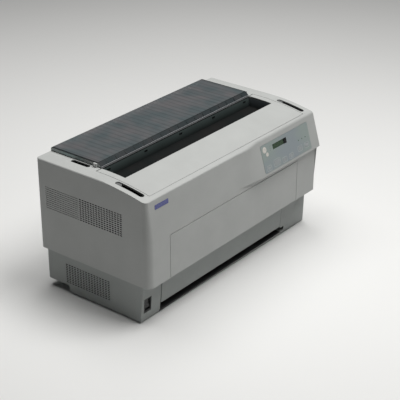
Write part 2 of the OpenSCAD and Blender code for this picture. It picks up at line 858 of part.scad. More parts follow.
// Removable panel over the front paper slot.
module lower_front_panel() color("gray") {
  v0 = slot_top - foot_h;
  v1 = base_h / cos(lean);
  on_base_front() {
    block([slot_left + panel_gap, slot_right - seam], [v0, v1 - 0.5], [-skin, 0]);
    difference() {
      block([slot_left - 6, slot_right + 6], [v0 + 3, v1 - 0.5], [-wall - 3, -wall]);
      block([slot_left + 6, slot_right - 6], [v0 + 9, v1 - 9], [-wall - 4, -wall + 1]);
    }
    for (v = [v0 + 3, v1 - 6])
      block([slot_left + panel_gap + 1, slot_right - 3], [v, v + 3], [-wall - 1, -skin + eps]);
  }
}

rocker_gap = 0.4;

module switch_housing() color([0.1, 0.1, 0.1]) on_base_front() difference() {
  block([switch_x, switch_x + switch_w], [switch_v, switch_v + switch_h], [-18, -0.2]);
  block([switch_x + 3, switch_x + switch_w - 3], [switch_v + 6, switch_v + switch_h - 3],
        [-14, 1]);
  translate([switch_x + 3, switch_v + 7, -7]) rotate([30, 0, 0])
    block([0, switch_w - 6], [-20, 0], [0, 20]);
  translate([switch_x + 1, switch_v + switch_h / 2 + 2, -9]) rotate([0, 90, 0])
    cylinder(r = 1.5 + running, h = switch_w - 2, $fn = 24);
}

module switch_rocker() color([0.16, 0.16, 0.16]) on_base_front() {
  x0 = switch_x + 3 + rocker_gap;
  w = switch_w - 6 - 2 * rocker_gap;
  mid = switch_v + switch_h / 2 + 2;
  translate([0, mid, -9]) {
    translate([x0, 0, 0]) rotate([-8, 0, 0]) rotate([90, 0, 90]) linear_extrude(w)
      polygon([[-11, 3], [-3, -3], [3, -3], [11, 3], [11, 6], [0, 4.2], [-11, 6]]);
    translate([switch_x + 1.4, 0, 0]) rotate([0, 90, 0])
      cylinder(r = 1.5, h = switch_w - 2.8, $fn = 24);
  }
}

module feet() color([0.12, 0.12, 0.12]) {
  both_sides() for (y = [base_foot_y + 26, step_y - 26])
    translate([base_x - 30, y, 0]) cylinder(r = foot_r, h = foot_h);
}

// ---------- chassis ----------

pan_x = base_x - wall - 3;
pan_front = base_foot_y + 36;
pan_rear = base_rear_y - wall - 2;

module chassis_pan() color("silver") {
  t = 1.5;
  block([-pan_x, pan_x], [pan_front, pan_rear], [rear_floor_z, pan_top]);
  block([-pan_x, pan_x], [pan_front, pan_front + t], [foot_h + wall, rear_floor_z + eps]);
  block([left_plate_x + 26, right_plate_x - 23], [pan_front, pan_front + t],
        [rear_floor_z, split_z + 4]);
}

module frame_outline() {
  y0 = drive_front[0];
  y1 = drive_rear[0];
  polygon([[pan_front + 6, pan_top], [pan_front + 6, tractor_z - 44],
           [y0 - 14, tractor_z - 38], [y0 - 14, cartridge_z[0]],
           [front_rod[0], cartridge_z[0]], [front_rod[0] + 8, platen_z + 10],
           [rear_rod[0] - 12, platen_z + 20], [rear_rod[0], platen_z + 44],
           [exit_at[0] + 20, guide_seat_z], [y1 - 18, guide_seat_z],
           [y1 + 14, tractor_z + 40], [y1 + 14, tractor_z - 44],
           [y1 - 20, tractor_z - 58], [y1 - 20, pan_top]]);
}

module frame_plate(x) {
  difference() {
    along_x(x, frame_t) frame_outline();
    rod(x - 1, frame_t + 2, [platen_y, platen_z], platen_shaft_r + running);
    rod(x - 1, frame_t + 2, exit_at, 4 + running);
    for (d = [drive_front, drive_rear]) {
      rod(x - 1, frame_t + 2, d, drive_r + running);
      rod(x - 1, frame_t + 2, d - [0, support_drop], support_r + running);
    }
    rod(x - 1, frame_t + 2, rear_rod, rear_rod_r + running);
    rod(x - 1, frame_t + 2, front_rod, front_rod_r + running);
    for (y = [-60, 0, 60])
      rod(x - 1, frame_t + 2, [y, tractor_z - 75], 18);
  }
  foot_x = x < 0 ? x + frame_t - eps : x - 14 + eps;
  block([foot_x, foot_x + 14], [pan_front + 6, drive_rear[0] - 20],
        [pan_top, pan_top + frame_t]);
}

shelf_x = pulley_end_x - 26;

// Shelf on the frame that carries a belt pulley.
module pulley_shelf(side) {
  inner = frame_gap / 2 + eps;
  x = side < 0 ? [-inner, -shelf_x] : [shelf_x, inner];
  difference() {
    block(x, [belt_axis_y - 22, belt_axis_y + 22], [belt_z - 6, belt_z - 3]);
    translate([side * pulley_end_x, belt_axis_y, belt_z - 10])
      cylinder(r = 3 + running, h = 20);
  }
}

module left_frame() color("silver") {
  difference() {
    frame_plate(left_plate_x);
    rod(left_plate_x - 1, frame_t + 2, pinion_at, 3 + running);
  }
  pulley_shelf(-1);
  rod(gear_x - 1, left_plate_x - gear_x + 1 + eps, idler_at, 3);
}

module right_frame() color("silver") {
  frame_plate(right_plate_x);
  pulley_shelf(1);
}

// ---------- paper feed ----------

function mesh_phase(direction, phase, teeth, next_teeth) =
  direction + 180 - 180 / next_teeth + (direction - phase) * teeth / next_teeth;
// Half of a tooth's angle at radius r, from an involute of a 20 degree rack, with backlash.
pressure = 20;
backlash = 0.16;
function inv_angle(a) = tan(a) * 180 / PI - a;
function half_tooth(r, teeth) =
  let (pitch_r = gear_m * teeth / 2, base_r = pitch_r * cos(pressure))
  90 / teeth - backlash / pitch_r * 180 / PI / 2 + inv_angle(pressure)
  - inv_angle(acos(min(1, base_r / r)));

module gear_outline(teeth) {
  pitch_r = gear_m * teeth / 2;
  base_r = pitch_r * cos(pressure);
  root_r = pitch_r - 1.25 * gear_m;
  tip_r = pitch_r + 0.92 * gear_m;
  low_r = max(root_r + 0.05, base_r);
  steps = 3;
  radii = [for (i = [0:steps]) low_r + (tip_r - low_r) * i / steps];
  polygon([for (t = [0:teeth - 1]) let (a = t * 360 / teeth) each concat(
    [root_r * [cos(a - half_tooth(low_r, teeth) - 0.3), sin(a - half_tooth(low_r, teeth) - 0.3)]],
    [for (r = radii) r * [cos(a - half_tooth(r, teeth)), sin(a - half_tooth(r, teeth))]],
    [for (i = [steps:-1:0]) let (r = radii[i])
      r * [cos(a + half_tooth(r, teeth)), sin(a + half_tooth(r, teeth))]],
    [root_r * [cos(a + half_tooth(low_r, teeth) + 0.3), sin(a + half_tooth(low_r, teeth) + 0.3)]])]);
}

module gear(x, at, teeth, phase, bore_r) {
  difference() {
    along_x(x, gear_w) translate(at) rotate(phase) gear_outline(teeth);
    rod(x - 1, gear_w + 2, at, bore_r);
  }
}

module platen() color([0.13, 0.13, 0.14]) {
  rod(-platen_len / 2, platen_len, [platen_y, platen_z], platen_r);
  rod(rear_belt_x - 1, right_plate_x + frame_t + 6 - rear_belt_x + 1,
      [platen_y, platen_z], platen_shaft_r);
}

module pulley(x, at, bore_r) {
  difference() {
    union() {
      rod(x, pulley_w, at, feed_pulley_r);
      for (dx = [0, pulley_w - flange_t]) rod(x + dx, flange_t, at, feed_pulley_r + 3);
    }
    rod(x - 1, pulley_w + 2, at, bore_r);
  }
}

// Gear and two belt pulleys on the platen's shaft.
module platen_drive() color("ivory") {
  at = [platen_y, platen_z];
  gear(gear_x, at, platen_teeth, 0, platen_shaft_r);
  pulley(front_belt_x, at, platen_shaft_r);
  pulley(rear_belt_x, at, platen_shaft_r);
  difference() {
    rod(front_belt_x + pulley_w - eps, gear_x - front_belt_x - pulley_w + 2 * eps, at,
        platen_shaft_r + 4);
    rod(front_belt_x, gear_x - front_belt_x + 2, at, platen_shaft_r);
  }
}

motor_size = 42;

module feed_motor() color("dimgray") {
  difference() {
    block([left_plate_x + frame_t, left_plate_x + frame_t + 38],
          [pinion_at[0] - motor_size / 2, pinion_at[0] + motor_size / 2],
          [pinion_at[1] - motor_size / 2, pinion_at[1] + motor_size / 2]);
    for (dy = [-1, 1], dz = [-1, 1])
      along_x(left_plate_x + frame_t - 1, 60)
        translate(pinion_at + motor_size / 2 * [dy, dz]) circle(4, $fn = 4);
    rod(left_plate_x, frame_t + 12, pinion_at, 3 + running);
  }
}

module feed_pinion() color("darkgoldenrod") {
  gear(gear_x, pinion_at, pinion_teeth,
       mesh_phase(pinion_angle, 0, platen_teeth, pinion_teeth), 2);
  rod(gear_x, left_plate_x + frame_t + 10 - gear_x, pinion_at, 3);
}

idler_phase = mesh_phase(idler_angle, 0, platen_teeth, pinion_teeth);

module idler_gear() color("ivory")
  gear(gear_x, idler_at, pinion_teeth, idler_phase, 3 + running);

roller_w = 28;
roller_pitch = (frame_gap - 198) / 6;
exit_roller_r = 10;

module exit_roller() color([0.2, 0.2, 0.22]) {
  rod(gear_x - 2, right_plate_x + frame_t + 4 - gear_x, exit_at, 4);
  for (i = [-3:3])
    rod(i * roller_pitch - roller_w / 2, roller_w, exit_at, exit_roller_r);
  gear(gear_x, exit_at, exit_teeth,
       mesh_phase(exit_angle, idler_phase, pinion_teeth, exit_teeth), 3.9);
}

module guide_rods() color("silver") {
  rod(left_plate_x, right_plate_x - left_plate_x + frame_t, rear_rod, rear_rod_r);
  rod(left_plate_x, right_plate_x - left_plate_x + frame_t, front_rod, front_rod_r);
  for (d = [drive_front, drive_rear])
    rod(left_plate_x, right_plate_x - left_plate_x + frame_t, d - [0, support_drop],
        support_r);
}

module drive_shaft(at, belt_x) {
  rod(belt_x - 1, right_plate_x + frame_t + 3 - belt_x + 1, at, drive_r);
  pulley(belt_x, at, drive_r - 0.1);
}
module front_drive_shaft() color("silver") drive_shaft(drive_front, front_belt_x);
module rear_drive_shaft() color("silver") drive_shaft(drive_rear, rear_belt_x);

module belt_outline(from, to, r) {
  run = norm(to - from);
  translate(from) rotate(atan2(to[1] - from[1], to[0] - from[0])) {
    circle(r);
    translate([run, 0]) circle(r);
    translate([0, -r]) square([run, 2 * r]);
  }
}

module belt(x, from, to) {
  along_x(x + flange_t + 0.5, belt_w) difference() {
    belt_outline(from, to, feed_pulley_r + 0.3 + belt_t);
    belt_outline(from, to, feed_pulley_r + 0.3);
  }
}

module feed_belts() color([0.08, 0.08, 0.08]) {
  belt(front_belt_x, [platen_y, platen_z], drive_front);
  belt(rear_belt_x, [platen_y, platen_z], drive_rear);
}

// ---------- tractors ----------

tractor_r = 13;
pin_pitch = 12.7;
lid_t = 2;
lid_gap = 3;
lid_axis = [tractor_w / 2 + 3, -tractor_r - 1.5];
ear_r = 2.4;
ear_h = 6;
// Foot of each ear that holds a lid's pin
ear_z = [-support_drop - ear_h, -4];

// A tractor facing -Y with its drive shaft on the origin; its outer side is -X.
module tractor() {
  difference() {
    union() {
      along_x(-tractor_w / 2, tractor_w) {
        circle(tractor_r);
        translate([-tractor_r, -support_drop]) square([2 * tractor_r, support_drop]);
        translate([0, -support_drop]) circle(tractor_r);
      }
      for (z = ear_z)
        translate([-lid_axis[0], lid_axis[1], z]) {
          cylinder(r = ear_r, h = ear_h, $fn = 32);
          block([0, 4], [-1, 6], [0, ear_h]);
        }
      for (i = [0:2])
        translate([0, -tractor_r + eps, -3 - i * pin_pitch]) rotate([90, 0, 0])
          cylinder(r1 = 1.9, r2 = 1.2, h = 1.8, $fn = 24);
    }
    rod(-tractor_w, 2 * tractor_w, [0, 0], drive_r + running);
    rod(-tractor_w, 2 * tractor_w, [0, -support_drop], support_r + running);
    translate([-lid_axis[0], lid_axis[1], -support_drop - 10])
      cylinder(r = 1.2 + running, h = support_drop + 20, $fn = 24);
    block([2, 6], [-tractor_r - 1, -tractor_r + 1.5], [-support_drop, 0]);
    block([-6, -2], [-tractor_r - 1, -tractor_r + 1.5], [-support_drop, 0]);
  }
}

lid_play = 0.3;
barrel_h = support_drop + ear_z[1] - 2 * lid_play;

// Hinged lid of a tractor, in the same place as the tractor that carries it.
module tractor_lid() {
  difference() {
    union() {
      block([-lid_axis[0], tractor_w / 2 + 2],
            [-tractor_r - lid_gap - lid_t, -tractor_r - lid_gap],
            [-support_drop - 8, 8]);
      translate([-lid_axis[0], lid_axis[1], -support_drop + lid_play]) {
        cylinder(r = ear_r, h = barrel_h, $fn = 32);
        block([-1.5, 1.5], [-lid_gap, 0], [0, barrel_h]);
      }
      translate([-lid_axis[0], lid_axis[1], -support_drop - 6])
        cylinder(r = 1.2, h = support_drop + 8, $fn = 24);
    }
    block([-3, 3], [-tractor_r - lid_gap - 4, -tractor_r - 1.9],
          [-support_drop - 2, 2]);
    for (z = ear_z)
      block([-lid_axis[0] - 1, -lid_axis[0] + ear_r + 2 * lid_play],
            [-tractor_r - lid_gap - lid_t - 1, -tractor_r],
            [z - lid_play, z + ear_h + lid_play]);
  }
}

module place_tractor(side, at) {
  translate([side * tractor_x, at[0], at[1]])
    mirror([side > 0 ? 1 : 0, 0, 0]) mirror([0, at[0] > 0 ? 1 : 0, 0]) children();
}
module front_tractor_left() color("darkslategray") place_tractor(-1, drive_front) tractor();
module front_tractor_right() color("darkslategray") place_tractor(1, drive_front) tractor();
module rear_tractor_left() color("darkslategray") place_tractor(-1, drive_rear) tractor();
module rear_tractor_right() color("darkslategray") place_tractor(1, drive_rear) tractor();
module front_lid_left() color("slategray") place_tractor(-1, drive_front) tractor_lid();
module front_lid_right() color("slategray") place_tractor(1, drive_front) tractor_lid();
module rear_lid_left() color("slategray") place_tractor(-1, drive_rear) tractor_lid();
module rear_lid_right() color("slategray") place_tractor(1, drive_rear) tractor_lid();

// ---------- carriage ----------

carriage_x = -frame_gap / 2 + 103;
carriage_low = belt_z + belt_w + 2;
head_rear_y = platen_y - platen_r - 1.5;

module carriage() color([0.2, 0.21, 0.22]) {
  x0 = carriage_x - carriage_w / 2;
  difference() {
    union() {
      block([x0, x0 + carriage_w], [front_rod[0] - front_rod_r - 5, rear_rod[0] + rear_rod_r + 5],
            [carriage_low, rear_rod[1] + rear_rod_r + 5]);
      block([carriage_x - 10, carriage_x + 10],
            [belt_axis_y - carriage_pulley_r + 0.4, belt_axis_y - carriage_pulley_r + 4],
            [belt_z, carriage_low + eps]);
    }
    rod(x0 - 1, carriage_w + 2, rear_rod, rear_rod_r + running);
    rod(x0 - 1, carriage_w + 2, front_rod, front_rod_r + running);
    for (x = [x0 + 12, x0 + carriage_w - 12])
      translate([x, (front_rod[0] + rear_rod[0]) / 2, carriage_low - 1])
        cylinder(r = 5, h = 60);
  }
}

module print_head() color("dimgray") {
  seat = rear_rod[1] + rear_rod_r + 5;
  fins = 7;
  fin_t = 1.6;
  body_y = [rear_rod[0] - 16, rear_rod[0] + 22];
  nose_z = platen_z;
  block([carriage_x - 21, carriage_x + 21], body_y, [seat, seat + 14]);
  for (i = [0:fins - 1])
    block([carriage_x - 20, carriage_x + 20],
          [body_y[0] + i * 4.6, body_y[0] + i * 4.6 + fin_t], [seat, seat + 28]);
  translate([carriage_x - 11, 0, 0]) rotate([90, 0, 90]) linear_extrude(22) polygon([
    [body_y[1] - 8, seat], [head_rear_y - 6, nose_z - 6], [head_rear_y, nose_z - 5],
    [head_rear_y, nose_z + 5], [head_rear_y - 6, nose_z + 8], [body_y[1] - 8, seat + 14]]);
}

cartridge_z = [platen_z + 30, platen_z + 48];
cartridge_half = frame_gap / 2 - 78;
cartridge_y = [cover_y + 16, rear_rod[0] - 18];

module ribbon_cartridge() color([0.1, 0.1, 0.11]) {
  difference() {
    translate([-cartridge_half, cartridge_y[0], cartridge_z[0]])
      linear_extrude(cartridge_z[1] - cartridge_z[0])
        rounded_rect(2 * cartridge_half, cartridge_y[1] - cartridge_y[0], 8);
    translate([-cartridge_half + 4, cartridge_y[0] + 4, cartridge_z[1] - 1.2])
      linear_extrude(5)
        rounded_rect(2 * cartridge_half - 8, cartridge_y[1] - cartridge_y[0] - 8, 6);
    translate([-cartridge_half + 40, cartridge_y[0] + 24, cartridge_z[1] - 10])
      cylinder(r = 4 + running, h = 20);
  }
  both_sides() {
    block([cartridge_half - 4, right_plate_x + frame_t], [cartridge_y[0] + 12, cartridge_y[0] + 34],
          [cartridge_z[0], cartridge_z[0] + 6]);
    block([right_plate_x - 34, right_plate_x - 26], [cartridge_y[0] + 20, platen_y - 6],
          [cartridge_z[0], cartridge_z[0] + 6]);
  }
}

module ribbon_knob() color("royalblue") {
  translate([-cartridge_half + 40, cartridge_y[0] + 24, cartridge_z[1] - 10]) {
    cylinder(r = 4, h = 12);
    translate([0, 0, 10.3]) difference() {
      cylinder(r = 12, h = 8);
      for (a = [0:30:330]) rotate(a) translate([13, 0, -1]) cylinder(r = 2, h = 12, $fn = 16);
    }
  }
}

module carriage_belt() color([0.08, 0.08, 0.08]) {
  translate([0, 0, belt_z + 0.5]) linear_extrude(belt_w) difference() {
    translate([-pulley_end_x, belt_axis_y, 0])
      belt_outline([0, 0], [2 * pulley_end_x, 0], carriage_pulley_r + 0.3 + 1.2);
    translate([-pulley_end_x, belt_axis_y, 0])
      belt_outline([0, 0], [2 * pulley_end_x, 0], carriage_pulley_r + 0.3);
  }
}

module carriage_motor() color("dimgray") {
  difference() {
    translate([-pulley_end_x, belt_axis_y, belt_z - 6 - 44]) intersection() {
      cylinder(r = 24, h = 44);
      block([-21, 21], [-21, 21], [0, 44]);
    }
    translate([-pulley_end_x, belt_axis_y, belt_z - 20]) cylinder(r = 3 + running, h = 40);
  }
}

module belt_pulley(x, shaft_drop) {
  translate([x, belt_axis_y, 0]) {
    translate([0, 0, belt_z - 1]) cylinder(r = carriage_pulley_r, h = belt_w + 2);
    translate([0, 0, belt_z - 2.5]) cylinder(r = carriage_pulley_r + 3, h = 1.5);
    translate([0, 0, belt_z - shaft_drop]) cylinder(r = 3, h = shaft_drop + belt_w + 2);
  }
}
module drive_pulley() color("silver") belt_pulley(-pulley_end_x, 18);
module tension_pulley() color("silver") belt_pulley(pulley_end_x, 8);

// ---------- paper exit ----------

guide_start = [exit_at[0] + 16, exit_at[1] - 4];
guide_end = [rear_y - 16, deck_z - 8];
guide_seat_z = platen_z + 50;

module exit_guide() color([0.15, 0.15, 0.16]) {
  t = 2;
  slope = atan2(guide_end[1] - guide_start[1], guide_end[0] - guide_start[0]);
  run = norm(guide_end - guide_start);
  half = smoke_w / 2 - 16;
  along_x(-half, 2 * half) translate(guide_start) rotate(slope) {
    square([run, t]);
    translate([0, -8]) square([t, 8]);
  }
  count = floor((half - 4) / exit_rib_pitch);
  for (i = [-count:count])
    along_x(i * exit_rib_pitch - 0.8, 1.6) translate(guide_start) rotate(slope)
      polygon([[2, t - eps], [10, t + 4], [run - 20, t + 4], [run - 2, t - eps]]);
  both_sides()
    block([half - eps, right_plate_x + frame_t], [drive_rear[0] - 36, drive_rear[0] - 22],
          [guide_seat_z, guide_seat_z + 2]);
}

// ---------- electrical parts ----------

module power_supply() color("silver") {
  x = [left_plate_x + frame_t + 17, left_plate_x + 146];
  y = [platen_y + 42, pan_rear - 4];
  z = [pan_top, pan_top + 48];
  difference() {
    block(x, y, z);
    block([x[0] + 1.5, x[1] - 1.5], [y[0] + 1.5, y[1] - 1.5], [z[0] + 1.5, z[1] - 1.5]);
    for (i = [0:9])
      block([x[0] + 16 + i * 10, x[0] + 20 + i * 10], [y[0] + 20, y[1] - 20],
            [z[1] - 3, z[1] + 1]);
  }
  difference() {
    block([inlet_x[0] + 0.3, inlet_x[1] - 0.3], [y[1] - eps, base_rear_y - 0.3],
          [inlet_z[0] + 0.3, inlet_z[1] - 0.3]);
    block([inlet_x[0] + 5, inlet_x[1] - 5], [base_rear_y - 14, base_rear_y + 1],
          [inlet_z[0] + 4, inlet_z[1] - 4]);
  }
}

chip_w = 34;

module main_board() color("darkgreen") {
  z = pan_top + 8;
  x = [left_plate_x + 186, right_plate_x - 13];
  y = [platen_y - 68, pan_rear - 4];
  block(x, y, [z, z + 1.6]);
  for (px = [x[0] + 10, x[1] - 10], py = [y[0] + 10, y[1] - 10])
    translate([px, py, pan_top]) cylinder(r = 3, h = 8.01, $fn = 24);
  for (p = [[60, 40], [130, 90], [210, 50], [280, 130]])
    block([x[0] + p[0], x[0] + p[0] + chip_w], [y[0] + p[1], y[0] + p[1] + chip_w],
          [z + 1.5, z + 5]);
  for (port = ports_x)
    block([port[0] + 0.3, port[1] - 0.3], [pan_rear - 22, base_rear_y - 0.3],
          [ports_z[0] + 0.3, ports_z[1] - 0.3]);
}

fan_size = 60;
fan_x = half_w - wall - 25;
fan_at = [side_grille_y[0] + 70, (side_grille_z[0] + side_grille_z[1]) / 2];

module fan_frame() color([0.1, 0.1, 0.1]) {
  difference() {
    block([fan_x, fan_x + 25], [fan_at[0] - fan_size / 2, fan_at[0] + fan_size / 2],
          [fan_at[1] - fan_size / 2, fan_at[1] + fan_size / 2]);
    rod(fan_x - 1, 27, fan_at, fan_size / 2 - 2);
  }
  difference() {
    union() {
      rod(fan_x, 2, fan_at, 13);
      for (a = [0:90:270])
        along_x(fan_x, 2) translate(fan_at) rotate(a + 20) translate([10, -1.5])
          square([fan_size / 2 - 11, 3]);
      rod(fan_x, 8, fan_at, 4);
    }
    rod(fan_x - 1, 12, fan_at, 1.5 + running);
  }
}

module fan_rotor() color([0.15, 0.15, 0.15]) {
  difference() {
    rod(fan_x + 3, 20, fan_at, 12);
    rod(fan_x + 2, 16, fan_at, 9);
  }
  rod(fan_x + 1, 20, fan_at, 1.5);
  for (a = [0:360 / 7:359])
    translate([fan_x + 13, fan_at[0], fan_at[1]]) rotate([a, 0, 0]) translate([0, 11, 0])
      rotate([0, 40, 0]) block([-8, 8], [0, 15], [-0.8, 0.8]);
}

lower_case();
lower_front_panel();
upper_case();
deck_rails();
control_panel_housing();
panel_overlay();
display_module();
key_1();
key_2();
key_3();
key_4();
key_5();
key_6();
indicator_lamps();
printer_cover();
cover_window();
paper_exit_cover();
front_door();
rear_door();
side_grille_left();
side_grille_right();
base_grille_left();
base_grille_right();
switch_housing();
switch_rocker();
feet();
chassis_pan();
left_frame();
right_frame();
platen();
platen_drive();
feed_motor();
feed_pinion();
idler_gear();
exit_roller();
guide_rods();
carriage();
print_head();
ribbon_cartridge();
ribbon_knob();
carriage_belt();
carriage_motor();
drive_pulley();
tension_pulley();
front_drive_shaft();
rear_drive_shaft();
front_tractor_left();
front_tractor_right();
rear_tractor_left();
rear_tractor_right();
front_lid_left();
front_lid_right();
rear_lid_left();
rear_lid_right();
feed_belts();
exit_guide();
power_supply();
main_board();
fan_rotor();
fan_frame();
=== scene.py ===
"""Finish of a wide-carriage dot matrix printer: mouldings, smoke covers, control panel,
print mechanism and a plain studio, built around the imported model."""

import json
import math

import bmesh
import bpy
from bpy.props import FloatProperty, FloatVectorProperty, IntProperty, PointerProperty
from bpy.types import Operator, Panel, PropertyGroup
from mathutils import Matrix, Vector
from mathutils.bvhtree import BVHTree

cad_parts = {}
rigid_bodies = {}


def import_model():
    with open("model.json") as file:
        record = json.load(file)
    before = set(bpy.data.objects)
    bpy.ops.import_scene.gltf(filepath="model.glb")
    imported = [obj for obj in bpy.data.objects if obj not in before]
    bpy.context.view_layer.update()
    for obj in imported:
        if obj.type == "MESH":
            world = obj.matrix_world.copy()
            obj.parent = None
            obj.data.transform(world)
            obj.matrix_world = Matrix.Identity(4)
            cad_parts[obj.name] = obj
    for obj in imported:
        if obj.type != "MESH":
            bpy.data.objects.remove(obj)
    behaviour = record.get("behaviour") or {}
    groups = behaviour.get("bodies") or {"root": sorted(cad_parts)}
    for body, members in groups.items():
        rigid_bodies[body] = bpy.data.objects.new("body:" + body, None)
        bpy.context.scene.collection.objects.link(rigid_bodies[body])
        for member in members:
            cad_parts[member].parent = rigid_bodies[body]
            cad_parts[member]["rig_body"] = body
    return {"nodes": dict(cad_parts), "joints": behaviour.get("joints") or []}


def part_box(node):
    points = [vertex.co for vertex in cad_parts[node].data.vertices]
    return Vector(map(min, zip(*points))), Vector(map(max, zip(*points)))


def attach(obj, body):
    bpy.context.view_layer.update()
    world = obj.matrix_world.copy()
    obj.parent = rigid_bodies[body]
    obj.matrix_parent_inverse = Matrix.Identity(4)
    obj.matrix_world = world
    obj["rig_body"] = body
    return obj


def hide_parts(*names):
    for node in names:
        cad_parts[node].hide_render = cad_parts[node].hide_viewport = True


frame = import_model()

bl_info = {
    "name": "Dot Matrix Printer Finish",
    "version": (1, 0, 0),
    "blender": (4, 5, 0),
    "location": "3D View > Sidebar > Printer",
    "description": "Dresses the dot matrix printer with mouldings, finishes and a studio",
    "category": "Object",
}

MM = 0.001
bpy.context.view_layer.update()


# ---------- sizes and colours that a user would change ----------

class PrinterFinish(PropertyGroup):
    """Colours and surface grain"""

    case_colour: FloatVectorProperty(
        name="Case", description="Colour of the upper case, covers and doors",
        subtype="COLOR", size=3, min=0, max=1, default=(0.42, 0.432, 0.424))
    base_colour: FloatVectorProperty(
        name="Base", description="Colour of the lower case and its front panel",
        subtype="COLOR", size=3, min=0, max=1, default=(0.325, 0.345, 0.337))
    smoke_colour: FloatVectorProperty(
        name="Exit cover", description="Tint of the smoke cover over the paper exit",
        subtype="COLOR", size=3, min=0, max=1, default=(0.098, 0.108, 0.114))
    window_colour: FloatVectorProperty(
        name="Window", description="Tint of the smoke window in the printer cover",
        subtype="COLOR", size=3, min=0, max=1, default=(0.011, 0.012, 0.012))
    film_colour: FloatVectorProperty(
        name="Panel film", description="Colour of the control panel's membrane",
        subtype="COLOR", size=3, min=0, max=1, default=(0.30, 0.325, 0.335))
    badge_colour: FloatVectorProperty(
        name="Badge", description="Colour of the blank badge plate",
        subtype="COLOR", size=3, min=0, max=1, default=(0.075, 0.085, 0.27))
    grain_size: FloatProperty(
        name="Grain size", description="Width of one grain of the moulded texture",
        unit="LENGTH", min=0.0001, default=0.7 * MM)
    grain_depth: FloatProperty(
        name="Grain depth", description="Depth of the moulded texture",
        unit="LENGTH", min=0, default=0.03 * MM)
    smoke_opacity: FloatProperty(
        name="Smoke opacity", description="How much the exit cover hides what lies below",
        subtype="FACTOR", min=0, max=1, default=0.86)


class PrinterTrim(PropertyGroup):
    """Sizes of the trim that the solids leave out"""

    edge_round: FloatProperty(
        name="Edge rounding", description="Width of the rounding on moulded edges",
        unit="LENGTH", min=0, default=0.6 * MM)
    badge_left: FloatProperty(
        name="Badge left", description="Left edge of the blank badge plate",
        unit="LENGTH", default=-319 * MM)
    badge_foot: FloatProperty(
        name="Badge foot", description="Lower edge of the blank badge plate",
        unit="LENGTH", default=306.5 * MM)
    badge_size: FloatVectorProperty(
        name="Badge size", description="Width, thickness and height of the badge plate",
        subtype="XYZ_LENGTH", size=3, default=(49 * MM, 0.8 * MM, 11.5 * MM))
    front_lean: FloatProperty(
        name="Front lean", description="How far the front wall leans back at its upper edge",
        unit="LENGTH", min=0, max=9 * MM, default=8 * MM)
    front_round: FloatProperty(
        name="Front edge", description="Radius of the front wall's upper edge",
        unit="LENGTH", min=3.6 * MM, max=10 * MM, default=5 * MM)
    stripe_pitch: FloatProperty(
        name="Exit cover streaks", description="Distance between the exit cover's streaks",
        unit="LENGTH", min=0.004, default=18 * MM)
    lip_rib_pitch: FloatProperty(
        name="Lip ribs", description="Distance between the dark ribs in the cover's lip",
        unit="LENGTH", min=0.01, default=34 * MM)
    tab_count: IntProperty(
        name="Window stops", description="Rubber stops along the window's rear wall",
        min=2, default=5)


class PrinterStudio(PropertyGroup):
    """Camera and lights"""

    eye: FloatVectorProperty(
        name="Camera", description="Where the camera stands",
        subtype="XYZ_LENGTH", size=3, default=(-2.206, -1.791, 1.572))
    target: FloatVectorProperty(
        name="Aim", description="The point that the camera looks at",
        subtype="XYZ_LENGTH", size=3, default=(-0.0232, -0.0717, 0.1857))
    lens: FloatProperty(
        name="Lens", description="Focal length on a 36 mm sensor, in millimetres",
        min=10, default=108.8)
    key_power: FloatProperty(
        name="Key light", description="Power of the large soft light, in watts",
        min=0, default=60)
    top_power: FloatProperty(
        name="Overhead light", description="Power of the overhead softbox, in watts",
        min=0, default=56)
    world_strength: FloatProperty(
        name="Surroundings", description="Strength of the even light from all round",
        min=0, default=0.01)


# ---------- materials ----------

